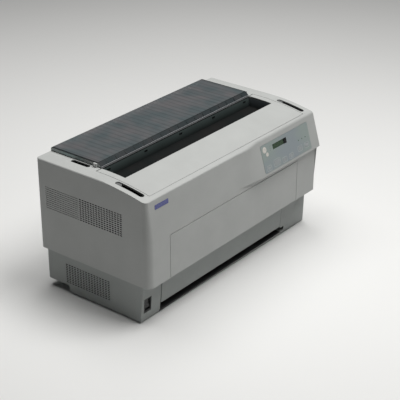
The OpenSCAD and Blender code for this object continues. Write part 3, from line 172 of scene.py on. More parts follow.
class Shader:
    """A node material with one main shader, in the object's own coordinates."""

    def __init__(self, name):
        self.material = bpy.data.materials.new(name)
        self.material.use_nodes = True
        self.tree = self.material.node_tree
        self.tree.nodes.clear()
        output = self.node("ShaderNodeOutputMaterial")
        self.main = self.node("ShaderNodeBsdfPrincipled")
        self.link(self.main.outputs["BSDF"], output.inputs["Surface"])
        self.place = self.node("ShaderNodeTexCoord").outputs["Object"]

    def node(self, kind, **values):
        made = self.tree.nodes.new(kind)
        for name, value in values.items():
            setattr(made, name, value)
        return made

    def link(self, output, socket):
        self.tree.links.new(output, socket)

    def set(self, **values):
        """Sets sockets of the main shader: spaces in their names are written as _."""
        for name, value in values.items():
            self.main.inputs[name.replace("_", " ")].default_value = value
        return self

    def noise(self, size, detail=2.0, stretch=(1, 1, 1)):
        """Noise whose spots are about as wide as size, in metres."""
        scale = self.node("ShaderNodeMapping")
        scale.inputs["Scale"].default_value = [s / size for s in stretch]
        self.link(self.place, scale.inputs["Vector"])
        noise = self.node("ShaderNodeTexNoise")
        noise.inputs["Scale"].default_value = 1.0
        noise.inputs["Detail"].default_value = detail
        self.link(scale.outputs["Vector"], noise.inputs["Vector"])
        return noise.outputs["Fac"]

    def stripes(self, pitch):
        """Even bands across X, a dark and a light one in each pitch."""
        wave = self.node("ShaderNodeTexWave", wave_type="BANDS", bands_direction="X",
                         wave_profile="SIN")
        wave.inputs["Scale"].default_value = math.pi / 10 / pitch
        self.link(self.place, wave.inputs["Vector"])
        return wave.outputs["Fac"]

    def blend(self, factor, dark, light, low=0.3, high=0.7):
        """A colour between dark and light as factor goes from low to high."""
        ramp = self.node("ShaderNodeValToRGB")
        ends = ramp.color_ramp.elements
        for end, position, colour in zip(ends, (low, high), (dark, light)):
            end.position = position
            end.color = (*colour, 1)
        self.link(factor, ramp.inputs["Fac"])
        return ramp.outputs["Color"]

    def spread(self, factor, low, high):
        """A number between low and high as factor goes from 0.25 to 0.75."""
        spread = self.node("ShaderNodeMapRange")
        for name, value in (("From Min", 0.25), ("From Max", 0.75),
                            ("To Min", low), ("To Max", high)):
            spread.inputs[name].default_value = value
        self.link(factor, spread.inputs["Value"])
        return spread.outputs["Result"]

    def multiply(self, first, second):
        """The product of two colours."""
        mix = self.node("ShaderNodeMix", data_type="RGBA", blend_type="MULTIPLY")
        mix.inputs["Factor"].default_value = 1.0
        self.link(first, mix.inputs["A"])
        self.link(second, mix.inputs["B"])
        return mix.outputs["Result"]

    def colour(self, output):
        self.link(output, self.main.inputs["Base Color"])
        return self

    def roughness(self, factor, low, high):
        """Sets a roughness that runs between low and high with the factor."""
        self.link(self.spread(factor, low, high), self.main.inputs["Roughness"])
        return self

    def bump(self, height, depth, strength=1.0):
        """Sets a relief that is depth deep, in metres."""
        bump = self.node("ShaderNodeBump")
        bump.inputs["Strength"].default_value = strength
        bump.inputs["Distance"].default_value = depth
        self.link(height, bump.inputs["Height"])
        self.link(bump.outputs["Normal"], self.main.inputs["Normal"])
        return self


def shade(colour, amount):
    """A lighter or darker colour of the same tint."""
    return tuple(min(1.0, part * amount) for part in colour)


def finish_settings():
    """The colours and grain that the user has set."""
    return bpy.context.scene.printer_finish


def moulded_plastic(name, colour, rough=(0.42, 0.56), grain=1.0):
    """Spark-eroded moulding: fine grain, faint mottling and a satin sheen."""
    finish = finish_settings()
    made = Shader(name)
    fine = made.noise(finish.grain_size * grain, detail=3)
    broad = made.noise(70 * MM, detail=2)
    cloud = made.blend(broad, shade(colour, 0.965), shade(colour, 1.03))
    speck = made.blend(fine, (0.955,) * 3, (1.0,) * 3)
    made.colour(made.multiply(cloud, speck))
    made.roughness(made.noise(9 * MM, detail=3), *rough)
    made.bump(fine, finish.grain_depth * grain, strength=0.55)
    made.set(IOR=1.5, Specular_IOR_Level=0.5)
    return made.material


def smoke_plastic(name, colour, opacity, streak=0.0, gloss=0.4):
    """Tinted clear plastic: warm and cool patches, and the ribs that show through it."""
    made = Shader(name)
    cloud = made.noise(60 * MM, detail=2, stretch=(1, 0.8, 1))
    warm = (colour[0] * 1.22, colour[1] * 1.1, colour[2] * 1.09)
    cool = (colour[0] * 0.84, colour[1] * 0.94, colour[2] * 0.95)
    tone = made.blend(cloud, cool, warm, 0.36, 0.64)
    if streak:
        pitch = bpy.context.scene.printer_trim.stripe_pitch
        rib = made.blend(made.stripes(pitch), (1 - streak,) * 3, (1,) * 3, 0.0, 0.3)
        fine = made.noise(5 * MM, detail=2, stretch=(1, 0.05, 1))
        flow = made.blend(fine, (1 - streak * 0.5,) * 3, (1,) * 3, 0.3, 0.6)
        tone = made.multiply(made.multiply(tone, rib), flow)
    made.colour(tone)
    made.roughness(made.noise(22 * MM, detail=4), 0.34, 0.46)
    made.set(IOR=1.45, Alpha=opacity, Specular_IOR_Level=gloss)
    return made.material


def shaded_window_wall(name, foot, head, low, high):
    """Smoke plastic with painted light and shade: dark at its foot and lighter towards its
    head, standing in for the shade deep in the window's tray and the light on its upper walls.
    """
    made = Shader(name)
    parts = made.node("ShaderNodeSeparateXYZ")
    made.link(made.place, parts.inputs["Vector"])
    rise = made.node("ShaderNodeMapRange")
    rise.inputs["From Min"].default_value = low
    rise.inputs["From Max"].default_value = high
    made.link(parts.outputs["Z"], rise.inputs["Value"])
    tone = made.blend(rise.outputs["Result"], foot, head, 0.05, 0.95)
    haze = made.blend(made.noise(90 * MM, detail=1), (0.8,) * 3, (1.0,) * 3)
    made.colour(made.multiply(tone, haze))
    made.roughness(made.noise(25 * MM), 0.45, 0.6)
    made.set(IOR=1.45, Specular_IOR_Level=0.1)
    return made.material


def membrane_film():
    """Printed polyester membrane with a soft cool haze across it."""
    colour = finish_settings().film_colour
    made = Shader("membrane_film")
    haze = made.noise(75 * MM, detail=2, stretch=(0.7, 1, 1.2))
    green = (colour[0] * 0.95, colour[1] * 1.03, colour[2] * 0.96)
    blue = (colour[0] * 0.89, colour[1] * 0.94, colour[2] * 0.98)
    made.colour(made.blend(haze, green, blue, 0.38, 0.62))
    made.roughness(made.noise(1.2 * MM, detail=2), 0.30, 0.42)
    made.bump(made.noise(0.35 * MM, detail=2), 0.01 * MM, strength=0.5)
    made.set(IOR=1.57)
    return made.material


def satin_plastic(name, colour, rough=(0.32, 0.46)):
    """Smooth plastic of small parts, with slight flow marks."""
    made = Shader(name)
    flow = made.noise(14 * MM, detail=3, stretch=(1, 0.5, 1))
    made.colour(made.blend(flow, shade(colour, 0.9), shade(colour, 1.08)))
    made.roughness(made.noise(3 * MM, detail=2), *rough)
    made.bump(made.noise(0.4 * MM, detail=2), 0.012 * MM, strength=0.5)
    return made.material


def clear_lamp(name, colour):
    """Tinted clear lens of a lamp."""
    made = Shader(name)
    ring = made.noise(1.5 * MM, detail=1)
    made.colour(made.blend(ring, shade(colour, 0.8), colour))
    made.roughness(ring, 0.08, 0.16)
    made.set(Transmission_Weight=0.35, IOR=1.5)
    return made.material


def crystal_glass():
    """Grey-green glass of a reflective character display."""
    made = Shader("display_glass")
    cell = made.noise(2.4 * MM, detail=1, stretch=(1, 1, 0.6))
    made.colour(made.blend(cell, (0.040, 0.066, 0.044), (0.075, 0.110, 0.072)))
    made.roughness(made.noise(18 * MM), 0.07, 0.14)
    made.set(IOR=1.52, Coat_Weight=0.5, Coat_Roughness=0.04)
    return made.material


def steel(name, colour, rough, brushed=(1, 1, 1), scratch=0.8 * MM):
    """Plated or ground steel; brushed gives the direction that the lines keep."""
    made = Shader(name)
    lines = made.noise(scratch, detail=3, stretch=brushed)
    tone = made.noise(35 * MM, detail=3)
    made.colour(made.blend(tone, shade(colour, 0.86), shade(colour, 1.06)))
    made.roughness(lines, *rough)
    made.bump(lines, 0.01 * MM, strength=0.5)
    made.set(Metallic=1.0)
    return made.material


def rubber(name, colour, grain=0.5 * MM):
    """Matt rubber with a fine ground surface."""
    made = Shader(name)
    fine = made.noise(grain, detail=4)
    made.colour(made.blend(made.noise(30 * MM), shade(colour, 0.8), shade(colour, 1.25)))
    made.roughness(fine, 0.62, 0.82)
    made.bump(fine, 0.03 * MM, strength=0.6)
    return made.material


def cast_metal():
    """Black anodised die casting of the print head."""
    made = Shader("head_casting")
    sand = made.noise(0.6 * MM, detail=4)
    made.colour(made.blend(sand, (0.045, 0.048, 0.052), (0.09, 0.094, 0.1)))
    made.roughness(sand, 0.38, 0.56)
    made.bump(sand, 0.05 * MM, strength=0.6)
    made.set(Metallic=0.75)
    return made.material


def circuit_laminate():
    """Green solder resist over copper tracks."""
    made = Shader("board_laminate")
    cells = made.node("ShaderNodeTexVoronoi", feature="DISTANCE_TO_EDGE")
    cells.inputs["Scale"].default_value = 1 / (7 * MM)
    made.link(made.place, cells.inputs["Vector"])
    tracks = made.blend(cells.outputs["Distance"], (0.035, 0.16, 0.06),
                        (0.018, 0.085, 0.034), 0.04, 0.07)
    made.colour(made.multiply(tracks, made.blend(made.noise(20 * MM), (0.9,) * 3, (1,) * 3)))
    made.roughness(made.noise(4 * MM), 0.22, 0.36)
    made.set(IOR=1.55)
    return made.material


def studio_floor():
    """Matt pale floor, so faintly mottled that it looks even."""
    made = Shader("studio_floor")
    tone = made.noise(1.5, detail=2)
    made.colour(made.blend(tone, (0.76, 0.765, 0.76), (0.78, 0.785, 0.78)))
    made.roughness(tone, 0.85, 0.95)
    return made.material


RECIPES = {
    "case": lambda: moulded_plastic("case_plastic", finish_settings().case_colour),
    "base": lambda: moulded_plastic("base_plastic", finish_settings().base_colour, (0.48, 0.6)),
    "exit_smoke": lambda: smoke_plastic(
        "exit_smoke", finish_settings().smoke_colour, finish_settings().smoke_opacity,
        streak=0.2),
    "exit_edge": lambda: smoke_plastic("exit_edge", (0.014, 0.018, 0.019), 1.0),
    "exit_lip": lambda: smoke_plastic("exit_lip", (0.034, 0.040, 0.043), 1.0, gloss=0.1),
    "exit_light": lambda: smoke_plastic("exit_light", (0.44, 0.50, 0.495), 1.0),
    "window_smoke": lambda: smoke_plastic(
        "window_smoke", finish_settings().window_colour, 1.0, gloss=0.05),
    # painted light and shade on the window's rear and end walls: darker at the foot, lighter at
    # the head
    "window_rear_shaded": lambda: shaded_window_wall("window_rear_shaded", (0.009, 0.011, 0.011),
                                       (0.060, 0.078, 0.076), 322 * MM, 346 * MM),
    "window_end_shaded": lambda: shaded_window_wall("window_end_shaded", (0.030, 0.034, 0.036),
                                      (0.13, 0.15, 0.16), 320 * MM, 346 * MM),
    "film": membrane_film,
    "key": lambda: satin_plastic("key_plastic", (0.34, 0.365, 0.375)),
    "key_line": lambda: satin_plastic("key_line", (0.47, 0.50, 0.50)),
    "pale": lambda: satin_plastic("pale_plastic", (0.62, 0.60, 0.56)),
    "bead": lambda: satin_plastic("bead_plastic", (0.27, 0.28, 0.29), (0.45, 0.55)),
    # pale colour of the left pivot post: partly a painted highlight
    "post": lambda: satin_plastic("post_painted_highlight", (0.72, 0.73, 0.72), (0.12, 0.2)),
    "lamp": lambda: clear_lamp("lamp_lens", (0.10, 0.22, 0.11)),
    "glass": crystal_glass,
    "bezel": lambda: satin_plastic("bezel_black", (0.008, 0.009, 0.010), (0.2, 0.3)),
    "latch": lambda: satin_plastic("latch_plastic", (0.13, 0.135, 0.135)),
    # painted shade: near-black for the faces inside the vent slots, standing in for the shade
    # there
    "vent": lambda: rubber("vent_painted_shade", (0.012, 0.013, 0.013)),
    "black": lambda: satin_plastic("black_plastic", (0.022, 0.023, 0.024)),
    "grey": lambda: satin_plastic("grey_plastic", (0.16, 0.17, 0.17)),
    "acetal": lambda: satin_plastic("acetal", (0.60, 0.57, 0.48), (0.28, 0.4)),
    "knob": lambda: satin_plastic("knob_blue", (0.03, 0.09, 0.33)),
    "badge": lambda: satin_plastic("badge_blue", finish_settings().badge_colour, (0.2, 0.3)),
    "plated": lambda: steel("plated_steel", (0.58, 0.59, 0.58), (0.3, 0.46)),
    "shaft": lambda: steel("ground_shaft", (0.64, 0.64, 0.65), (0.14, 0.26), (0.05, 1, 1)),
    "brass": lambda: steel("brass", (0.72, 0.52, 0.22), (0.2, 0.32)),
    "motor": lambda: satin_plastic("motor_paint", (0.035, 0.036, 0.038), (0.35, 0.5)),
    "casting": cast_metal,
    "platen": lambda: rubber("platen_rubber", (0.020, 0.020, 0.021), 0.3 * MM),
    "foot": lambda: rubber("foot_rubber", (0.016, 0.016, 0.016)),
    "belt": lambda: rubber("belt_rubber", (0.014, 0.014, 0.014), 0.8 * MM),
    "board": circuit_laminate,
}
_made_materials = {}


def material(name):
    """The named material, made the first time that it is asked for."""
    if name not in _made_materials:
        _made_materials[name] = RECIPES[name]()
    return _made_materials[name]


# ---------- meshes ----------

WELD = 0.002 * MM
NEAR = 0.1 * MM
FLAT = math.radians(0.4)
SHARP = math.radians(32)


def new_object(name, mesh, *finishes):
    """Puts a mesh into the scene as an object with these finishes."""
    obj = bpy.data.objects.new(name, mesh)
    bpy.context.scene.collection.objects.link(obj)
    for finish in finishes:
        mesh.materials.append(material(finish))
    return obj


def from_bmesh(name, form, *finishes):
    """Turns a finished bmesh into an object, and frees it."""
    bmesh.ops.recalc_face_normals(form, faces=form.faces)
    mesh = bpy.data.meshes.new(name)
    form.to_mesh(mesh)
    form.free()
    return new_object(name, mesh, *finishes)


def cad_copy(name, node, finish):
    """A new object with a welded copy of a node's mesh, whose flat faces are joined."""
    form = bmesh.new()
    form.from_mesh(frame["nodes"][node].data)
    bmesh.ops.remove_doubles(form, verts=form.verts, dist=WELD)
    bmesh.ops.dissolve_limit(form, angle_limit=FLAT, verts=form.verts, edges=form.edges)
    for face in form.faces:
        face.material_index = 0
    mesh = bpy.data.meshes.new(name)
    form.to_mesh(mesh)
    form.free()
    for stale in ("custom_normal", "UVMap"):
        if stale in mesh.attributes:
            mesh.attributes.remove(mesh.attributes[stale])
    return new_object(name, mesh, finish)


def settle(obj):
    """Applies the object's modifiers."""
    graph = bpy.context.evaluated_depsgraph_get()
    mesh = bpy.data.meshes.new_from_object(obj.evaluated_get(graph))
    old = obj.data
    obj.modifiers.clear()
    obj.data = mesh
    bpy.data.meshes.remove(old)
    return obj


def combine(obj, other, operation="UNION"):
    """Joins another solid to obj, or cuts it out of obj, and removes the other."""
    cut = obj.modifiers.new("combine", "BOOLEAN")
    cut.operation = operation
    cut.solver = "EXACT"
    cut.object = other
    settle(obj)
    bpy.data.objects.remove(other)
    return obj


def smooth(obj, angle=SHARP):
    """Shades an object smoothly, apart from edges that are sharper than the angle."""
    obj.data.shade_smooth()
    obj.data.set_sharp_from_angle(angle=angle)
    return obj


def mark_edges(obj, flush, seams=()):
    """Marks the sharp edges that get rounded, apart from those along a flush insert
    or in a seam: a plane across X where two solids were joined."""
    form = bmesh.new()
    form.from_mesh(obj.data)
    layer = form.edges.layers.float.new("bevel_weight_edge")
    boxes = [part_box(node) for node in flush]
    for edge in form.edges:
        seam = any(all(low[i] - WELD <= vert.co[i] <= high[i] + WELD
                       for vert in edge.verts for i in range(3)) for low, high in boxes)
        seam = seam or any(all(abs(vert.co.x - x) < 0.05 * MM for vert in edge.verts)
                           for x in seams)
        if len(edge.link_faces) == 2 and not seam:
            edge[layer] = 1.0 if edge.calc_face_angle() > SHARP else 0.0
    form.to_mesh(obj.data)
    form.free()


def round_edges(obj, width, segments=2, edge_index=-1, flush=(), seams=()):
    """Rounds the sharp edges and shades the rest smoothly.

    Where short edges meet, the rounding can throw a corner out. A rounded corner lies
    less than half a width from the old surface, so what is farther goes back to it."""
    mark_edges(obj, flush, seams)
    places = [vert.co.copy() for vert in obj.data.vertices]
    skin = BVHTree.FromPolygons(places, [tuple(face.vertices) for face in obj.data.polygons])
    low, high = ([pick(place[axis] for place in places) for axis in range(3)]
                 for pick in (min, max))
    rounding = obj.modifiers.new("round", "BEVEL")
    rounding.width = width
    rounding.segments = segments
    rounding.limit_method = "WEIGHT"
    rounding.use_clamp_overlap = False
    rounding.material = edge_index
    rounding.miter_outer = "MITER_ARC"
    settle(obj)
    for vert in obj.data.vertices:
        near, _, _, gap = skin.find_nearest(vert.co)
        if gap > width / 2:
            vert.co = near
        vert.co = [min(max(vert.co[axis], low[axis]), high[axis]) for axis in range(3)]
    smooth(obj)
    normals = obj.modifiers.new("normals", "WEIGHTED_NORMAL")
    normals.keep_sharp = True
    normals.weight = 60
    return settle(obj)


def seat(obj, body, replaces=()):
    """Lets a piece move with its body and stand for the nodes that it replaces."""
    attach(obj, body)
    if replaces:
        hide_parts(*replaces)
    return obj


def body_of(node):
    """The body that a node moves with."""
    return frame["nodes"][node]["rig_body"]


def dress(node, finish, width=None, segments=2, name=None, joined=(), edge=None, flush=(),
          seams=(), reshape=None):
    """Replaces a node, and those joined to it, by one copy with rounded edges.

    Edges along the flush nodes stay sharp, so that an insert and its frame look as one.
    A reshape function may change the copy before its edges are rounded."""
    obj = cad_copy(name or node + "_finished", node, finish)
    for other in joined:
        combine(obj, cad_copy("joined", other, finish))
    if reshape:
        reshape(obj)
    edge_index = -1
    if edge:
        obj.data.materials.append(material(edge))
        edge_index = len(obj.data.materials) - 1
    if width is None:
        width = bpy.context.scene.printer_trim.edge_round
    if width:
        round_edges(obj, width, segments, edge_index, flush, seams)
    else:
        smooth(obj)
    return seat(obj, body_of(node), (node, *joined))


def vents(node, finish):
    """Gives a grille its finish, with painted shade: the faces inside its openings are painted
    near-black to stand in for the shade in the slots.
    """
    grille = dress(node, finish, 0)
    grille.data.materials.append(material("vent"))
    low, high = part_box(node)
    for face in grille.data.polygons:
        inside = all(low[i] + 0.4 * MM < face.center[i] < high[i] - 0.4 * MM for i in (1, 2))
        # painted shade: faces inside the slots get the near-black vent material, where the
        # openings lie in shade
        if abs(face.normal.x) < 0.5 and inside:
            face.material_index = 1
    return grille


class Reshaping:
    """Opens an object's mesh for changes and writes it back."""

    def __init__(self, obj):
        self.obj = obj

    def __enter__(self):
        self.form = bmesh.new()
        self.form.from_mesh(self.obj.data)
        return self.form

    def __exit__(self, *failure):
        self.form.to_mesh(self.obj.data)
        self.form.free()


def cut_across(form, faces, axis, places):
    """Cuts faces at several places along an axis and gives back all the faces there."""
    for place in places:
        point = [0, 0, 0]
        point[axis] = place
        normal = [0, 0, 0]
        normal[axis] = 1
        edges = {edge for face in faces for edge in face.edges}
        verts = {vert for face in faces for vert in face.verts}
        cut = bmesh.ops.bisect_plane(form, geom=[*verts, *edges, *faces], dist=WELD,
                                     plane_co=point, plane_no=normal)
        faces = [item for item in cut["geom"] if isinstance(item, bmesh.types.BMFace)]
    return faces


def tighten_corner(form, corner, old, new=4 * MM):
    """Gives an upright right front corner a smaller radius, below the corner's height."""
    middle = Vector((corner.x - old, corner.y + old, 0))
    fresh = Vector((corner.x - new, corner.y + new, 0))
    for vert in form.verts:
        off = Vector((vert.co.x, vert.co.y, 0)) - middle
        if vert.co.z < corner.z and off.x > -WELD and off.y < WELD:
            if old * 0.7 < off.length < old * 1.01:
                off *= new / old
                vert.co.x = fresh.x + off.x
                vert.co.y = fresh.y + off.y


def inlay(obj, finish, chosen, bands):
    """Paints bands of the chosen faces: each band is an axis, a start and an end."""
    obj.data.materials.append(material(finish))
    index = len(obj.data.materials) - 1
    with Reshaping(obj) as form:
        for axis, start, end in bands:
            faces = cut_across(form, [face for face in form.faces if chosen(face)],
                               axis, (start, end))
            for face in faces:
                if start < face.calc_center_median()[axis] < end:
                    face.material_index = index


def paint(finish, *nodes):
    """Gives nodes whose shape is right their finish."""
    for node in nodes:
        obj = frame["nodes"][node]
        obj.data.materials.clear()
        obj.data.materials.append(material(finish))


def rounded_plate(form, size, radius, steps=6):
    """Adds an upright plate with round corners: its face looks to -Y, its middle is 0."""
    width, thick, height = size
    ring = []
    for corner in range(4):
        turn = math.radians(90 * corner)
        centre = Vector((
            (width / 2 - radius) * (1 if corner in (0, 3) else -1), 0,
            (height / 2 - radius) * (1 if corner in (0, 1) else -1)))
        for step in range(steps + 1):
            angle = turn + math.radians(90) * step / steps
            ring.append(centre + radius * Vector((math.cos(angle), 0, math.sin(angle))))
    front = [form.verts.new(point + Vector((0, -thick / 2, 0))) for point in ring]
    back = [form.verts.new(point + Vector((0, thick / 2, 0))) for point in ring]
    form.faces.new(front)
    form.faces.new(back[::-1])
    for index in range(len(ring)):
        following = (index + 1) % len(ring)
        form.faces.new((front[index], back[index], back[following], front[following]))
    return front + back


def plate(name, size, radius, place, *finishes, width=0.15 * MM):
    """A plate with round corners and softened edges, as rounded_plate lays it out."""
    form = bmesh.new()
    rounded_plate(form, size, radius)
    obj = from_bmesh(name, form, *finishes)
    obj.data.transform(place)
    return round_edges(obj, width)


def turned(name, outline, place, *finishes, steps=32):
    """A turned piece from (radius, height) points, its axis along the place's Z."""
    form = bmesh.new()
    rings = []
    for radius, height in outline:
        if radius < 1e-7:
            rings.append([form.verts.new((0, 0, height))])
            continue
        rings.append([form.verts.new((radius * math.cos(2 * math.pi * s / steps),
                                      radius * math.sin(2 * math.pi * s / steps), height))
                      for s in range(steps)])
    for low, high in zip(rings, rings[1:]):
        for s in range(steps):
            t = (s + 1) % steps
            corners = [low[s % len(low)], low[t % len(low)],
                       high[t % len(high)], high[s % len(high)]]
            form.faces.new(list(dict.fromkeys(corners)))
    for ring, flip in ((rings[0], True), (rings[-1], False)):
        if len(ring) > 1:
            form.faces.new(ring[::-1] if flip else ring)
    obj = from_bmesh(name, form, *finishes)
    obj.data.transform(place)
    return smooth(obj, math.radians(40))


def ring_band(name, size, radius, band, rise, place, *finishes):
    """A flat rounded frame: the outline of a key, band wide and rise high."""
    form = bmesh.new()
    rounded_plate(form, (size[0], rise, size[1]), radius)
    outer = from_bmesh(name, form, *finishes)
    form = bmesh.new()
    rounded_plate(form, (size[0] - 2 * band, 3 * rise, size[1] - 2 * band), radius - band)
    inner = from_bmesh(name + "_hole", form)
    combine(outer, inner, "DIFFERENCE")
    outer.data.transform(place)
    return smooth(outer)


def outer_face(node, towards):
    """Origin and directions of a node's largest face that looks towards a direction.

    The origin is the face's lower left corner; the matrix's X runs along the printer,
    Z up the face and Y into it."""
    mesh = frame["nodes"][node].data
    towards = Vector(towards).normalized()
    areas = {}
    for face in mesh.polygons:
        if face.normal.dot(towards) > 0.6:
            key = tuple(round(part, 3) for part in face.normal)
            areas[key] = areas.get(key, 0) + face.area
    normal = Vector(max(areas, key=areas.get)).normalized()
    across = Vector((1, 0, 0))
    up = normal.cross(across).normalized() * -1
    if up.z < 0:
        up = -up
    points = [mesh.vertices[index].co for face in mesh.polygons
              if face.normal.dot(normal) > 0.9999 for index in face.vertices]
    depth = max(point.dot(normal) for point in points)
    low = (min(point.dot(across) for point in points),
           min(point.dot(up) for point in points))
    origin = across * low[0] + up * low[1] + normal * depth
    place = Matrix((across, -normal, up)).transposed().to_4x4()
    place.translation = origin
    return place


# ---------- pieces ----------

class Builder(Operator):
    """Base of the operators that make the printer's pieces.

    Its parts are nodes that need no more than a finish and rounded edges: each line
    holds the node, the finish, and the width and steps of the rounding where they count."""

    bl_idname = "printer.nothing"
    bl_label = "Builder"
    bl_options = {"REGISTER", "UNDO"}
    parts = ()

    def build(self, context):
        """Makes the operator's pieces."""
        for part in self.parts:
            dress(*part)

    def execute(self, context):
        self.build(context)
        return {"FINISHED"}


class FrontEdge:
    """The front wall's rounded upper edge, which changes along the swell.

    It is worked out in Y and Z: the deck is part of a large circle, and the edge is a
    small one that touches the deck and the wall."""

    radius = 10 * MM
    deck_radius = 745 * MM
    deck_middle_z = -393 * MM
    swell_reach = 13 * MM
    swell_foot = 241 * MM
    swell_slope = 0.294
    wall_top = 331 * MM
    depth = 24 * MM
    wall_ease = 8 * MM
    deck_ease = 13 * MM
    deck_shift = 4 * MM

    def __init__(self, trim):
        self.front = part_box("upper_case")[0].y
        self.back = self.front + self.depth
        self.swell_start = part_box("control_panel_housing")[0].x
        self.swell_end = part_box("panel_overlay")[0].x - 1 * MM
        self.foot = self.swell_foot - 4 * MM
        self.lean = trim.front_lean / (self.wall_top - self.foot)
        self.tight = trim.front_round

    def swell(self, x):
        """How far the swell has grown at x: 0 on the plain wall, 1 at the panel."""
        share = (x - self.swell_start) / (self.swell_end - self.swell_start)
        share = max(0.0, min(1.0, share))
        return share * share * (3 - 2 * share)

    def deck(self, y, inset=0.0):
        """Height of the deck at y, or of a surface that lies inset below it."""
        return self.deck_middle_z + math.sqrt((self.deck_radius - inset) ** 2 - y * y)

    def middle(self, wall_at, slope, radius):
        """Middle of the small circle, found by stepping closer."""
        z = 320 * MM
        for _ in range(6):
            y = wall_at(z) + radius * math.hypot(1, slope)
            z = self.deck(y, radius)
        return Vector((0, y, z))

    def solid_middle(self, share):
        """Middle of the edge as the solids have it, with a share of the swell."""
        slope = self.swell_slope * share
        return self.middle(lambda z: self.front - self.swell_reach * share
                           + (z - self.swell_foot) * slope, slope, self.radius)

    def leaning_middle(self):
        """Middle of the tighter edge over the leaning wall."""
        return self.middle(lambda z: self.front + (z - self.foot) * self.lean,
                           self.lean, self.tight)

    def moved(self, place):
        """Where a point of the plain front wall goes when the wall leans back."""
        share = 1 - self.swell(place.x)
        if share == 0 or place.z < self.foot or place.y > self.back:
            return place
        middle = self.solid_middle(1 - share)
        off = Vector((0, place.y - middle.y, place.z - middle.z))
        if off.z < 0 and off.y < 0 or off.length < self.radius * 0.3:
            lean = (place.z - self.foot) * self.lean
            near = min(1.0, (self.back - place.y) / self.wall_ease)
            return place + Vector((0, share * near * lean, 0))
        if off.length < self.radius * 1.02:
            shrink = off * (self.tight / self.radius - 1)
            return place + share * (self.leaning_middle() - middle + shrink)
        on_deck = abs(place.z - self.deck(place.y)) < NEAR
        near = min(1.0, (self.back - place.y) / self.deck_ease)
        new = place + Vector((0, share * near * self.deck_shift, 0))
        if on_deck:
            new.z = self.deck(new.y)
        return new


class PRINTER_OT_case(Builder):
    """Upper case with its vents and the swelling front in one moulding"""

    bl_idname = "printer.case"
    bl_label = "Upper case"

    corner_radius = 18 * MM

    def build(self, context):
        grilles = ("side_grille_left", "side_grille_right")
        swell_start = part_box("control_panel_housing")[0].x
        dress("upper_case", "case", name="case_shell", flush=grilles, seams=(swell_start,),
              joined=("deck_rails", "control_panel_housing"), reshape=self.lean_front)
        for grille in grilles:
            vents(grille, "case")

    def lean_front(self, shell):
        """Leans the plain front wall back and tightens its upper edge."""
        edge = FrontEdge(bpy.context.scene.printer_trim)
        with Reshaping(shell) as form:
            wall = [face for face in form.faces
                    if face.calc_center_median().y < edge.back - 2 * MM
                    and min(vert.co.z for vert in face.verts) < edge.foot
                    < max(vert.co.z for vert in face.verts)]
            cut_across(form, wall, 2, (edge.foot,))
            for vert in form.verts:
                if vert.co.y < edge.back:
                    vert.co = edge.moved(vert.co.copy())
            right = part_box("control_panel_housing")[1].x
            corner = Vector((right, edge.front, edge.foot + 1 * MM))
            tighten_corner(form, corner, self.corner_radius)
            seam = [vert for vert in form.verts if abs(vert.co.x - edge.swell_start) < WELD
                    and vert.co.y < edge.back + 2 * MM]
            bmesh.ops.remove_doubles(form, verts=seam, dist=0.5 * MM)


class PRINTER_OT_base(Builder):
    """Lower case with its vents, the panel over the paper slot and the feet"""

    bl_idname = "printer.base"
    bl_label = "Lower case"

    corner_radius = 8 * MM
    sill_front = -144 * MM
    sill_foot = 3 * MM
    sill_top = 6.5 * MM

    def build(self, context):
        grilles = ("base_grille_left", "base_grille_right")
        dress("lower_case", "base", name="base_shell", flush=grilles, reshape=self.corner)
        for grille in grilles:
            vents(grille, "base")
        dress("lower_front_panel", "base")
        dress("feet", "foot", 0.8 * MM)
        self.shade_liner()

    def corner(self, shell):
        """Tightens the right front corner over the whole height."""
        low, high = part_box("lower_case")
        with Reshaping(shell) as form:
            tighten_corner(form, Vector((high.x, low.y, high.z + 1 * MM)), self.corner_radius)

    def shade_liner(self):
        """Painted shade: black sheets on the sill of the front paper slot and over its front
        edge, standing in for the shade under the panel over the slot.
        """
        low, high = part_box("lower_front_panel")
        front, foot, sill = self.sill_front, self.sill_foot, self.sill_top
        thick, depth = 0.6 * MM, 24 * MM
        width = high.x - low.x - 4 * MM
        middle = (low.x + high.x) / 2
        for label, size, y, z in (
                ("lip", (width, thick, sill - foot), front - 0.2 * MM, (foot + sill) / 2),
                ("tray", (width, depth, thick), front + 11.6 * MM, sill + 0.2 * MM)):
            # painted shade: black strips where the slot under the panel lies in shade
            strip = plate(f"slot_shade_liner_{label}", size, 0.2 * MM,
                          Matrix.Translation((middle, y, z)), "black", width=0.08 * MM)
            seat(strip, "case")


class PRINTER_OT_doors(Builder):
    """Front and rear doors over the tractors"""

    bl_idname = "printer.doors"
    bl_label = "Doors"
    parts = (("front_door", "case"), ("rear_door", "case"))


class PRINTER_OT_printer_cover(Builder):
    """Printer cover with its smoke window and rubber stops"""

    bl_idname = "printer.printer_cover"
    bl_label = "Printer cover"

    stop_size = (11 * MM, 2.4 * MM, 3.2 * MM)
    stop_share = 0.92

    def build(self, context):
        dress("printer_cover", "case")
        dress("cover_window", "window_smoke", 0.5 * MM, reshape=self.paint_wall_light)
        self.stops(context.scene.printer_trim.tab_count)

    def paint_wall_light(self, window):
        """Paints light and shade on the window's rear and end walls: tints lighter than the
        rest of the window, as painted light, that darken towards their foot as painted shade.
        """
        low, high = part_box("cover_window")
        inlay(window, "window_rear_shaded", lambda face: face.normal.y < -0.5
              and face.calc_center_median().y > 0, ((2, low.z, high.z),))
        inlay(window, "window_end_shaded", lambda face: face.normal.x < -0.5
              and face.calc_center_median().x > 0, ((2, low.z, high.z),))

    def stops(self, count):
        """Small black stops in a row on the window's rear wall."""
        low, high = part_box("cover_window")
        span = (high.x - low.x) * self.stop_share
        for index in range(count):
            x = (index / (count - 1) - 0.5) * span
            place = Matrix.Translation((x, high.y - 3.4 * MM, high.z - 6 * MM))
            stop = plate(f"window_stop_{index + 1}", self.stop_size, 1 * MM, place, "bezel")
            seat(stop, "printer_cover")


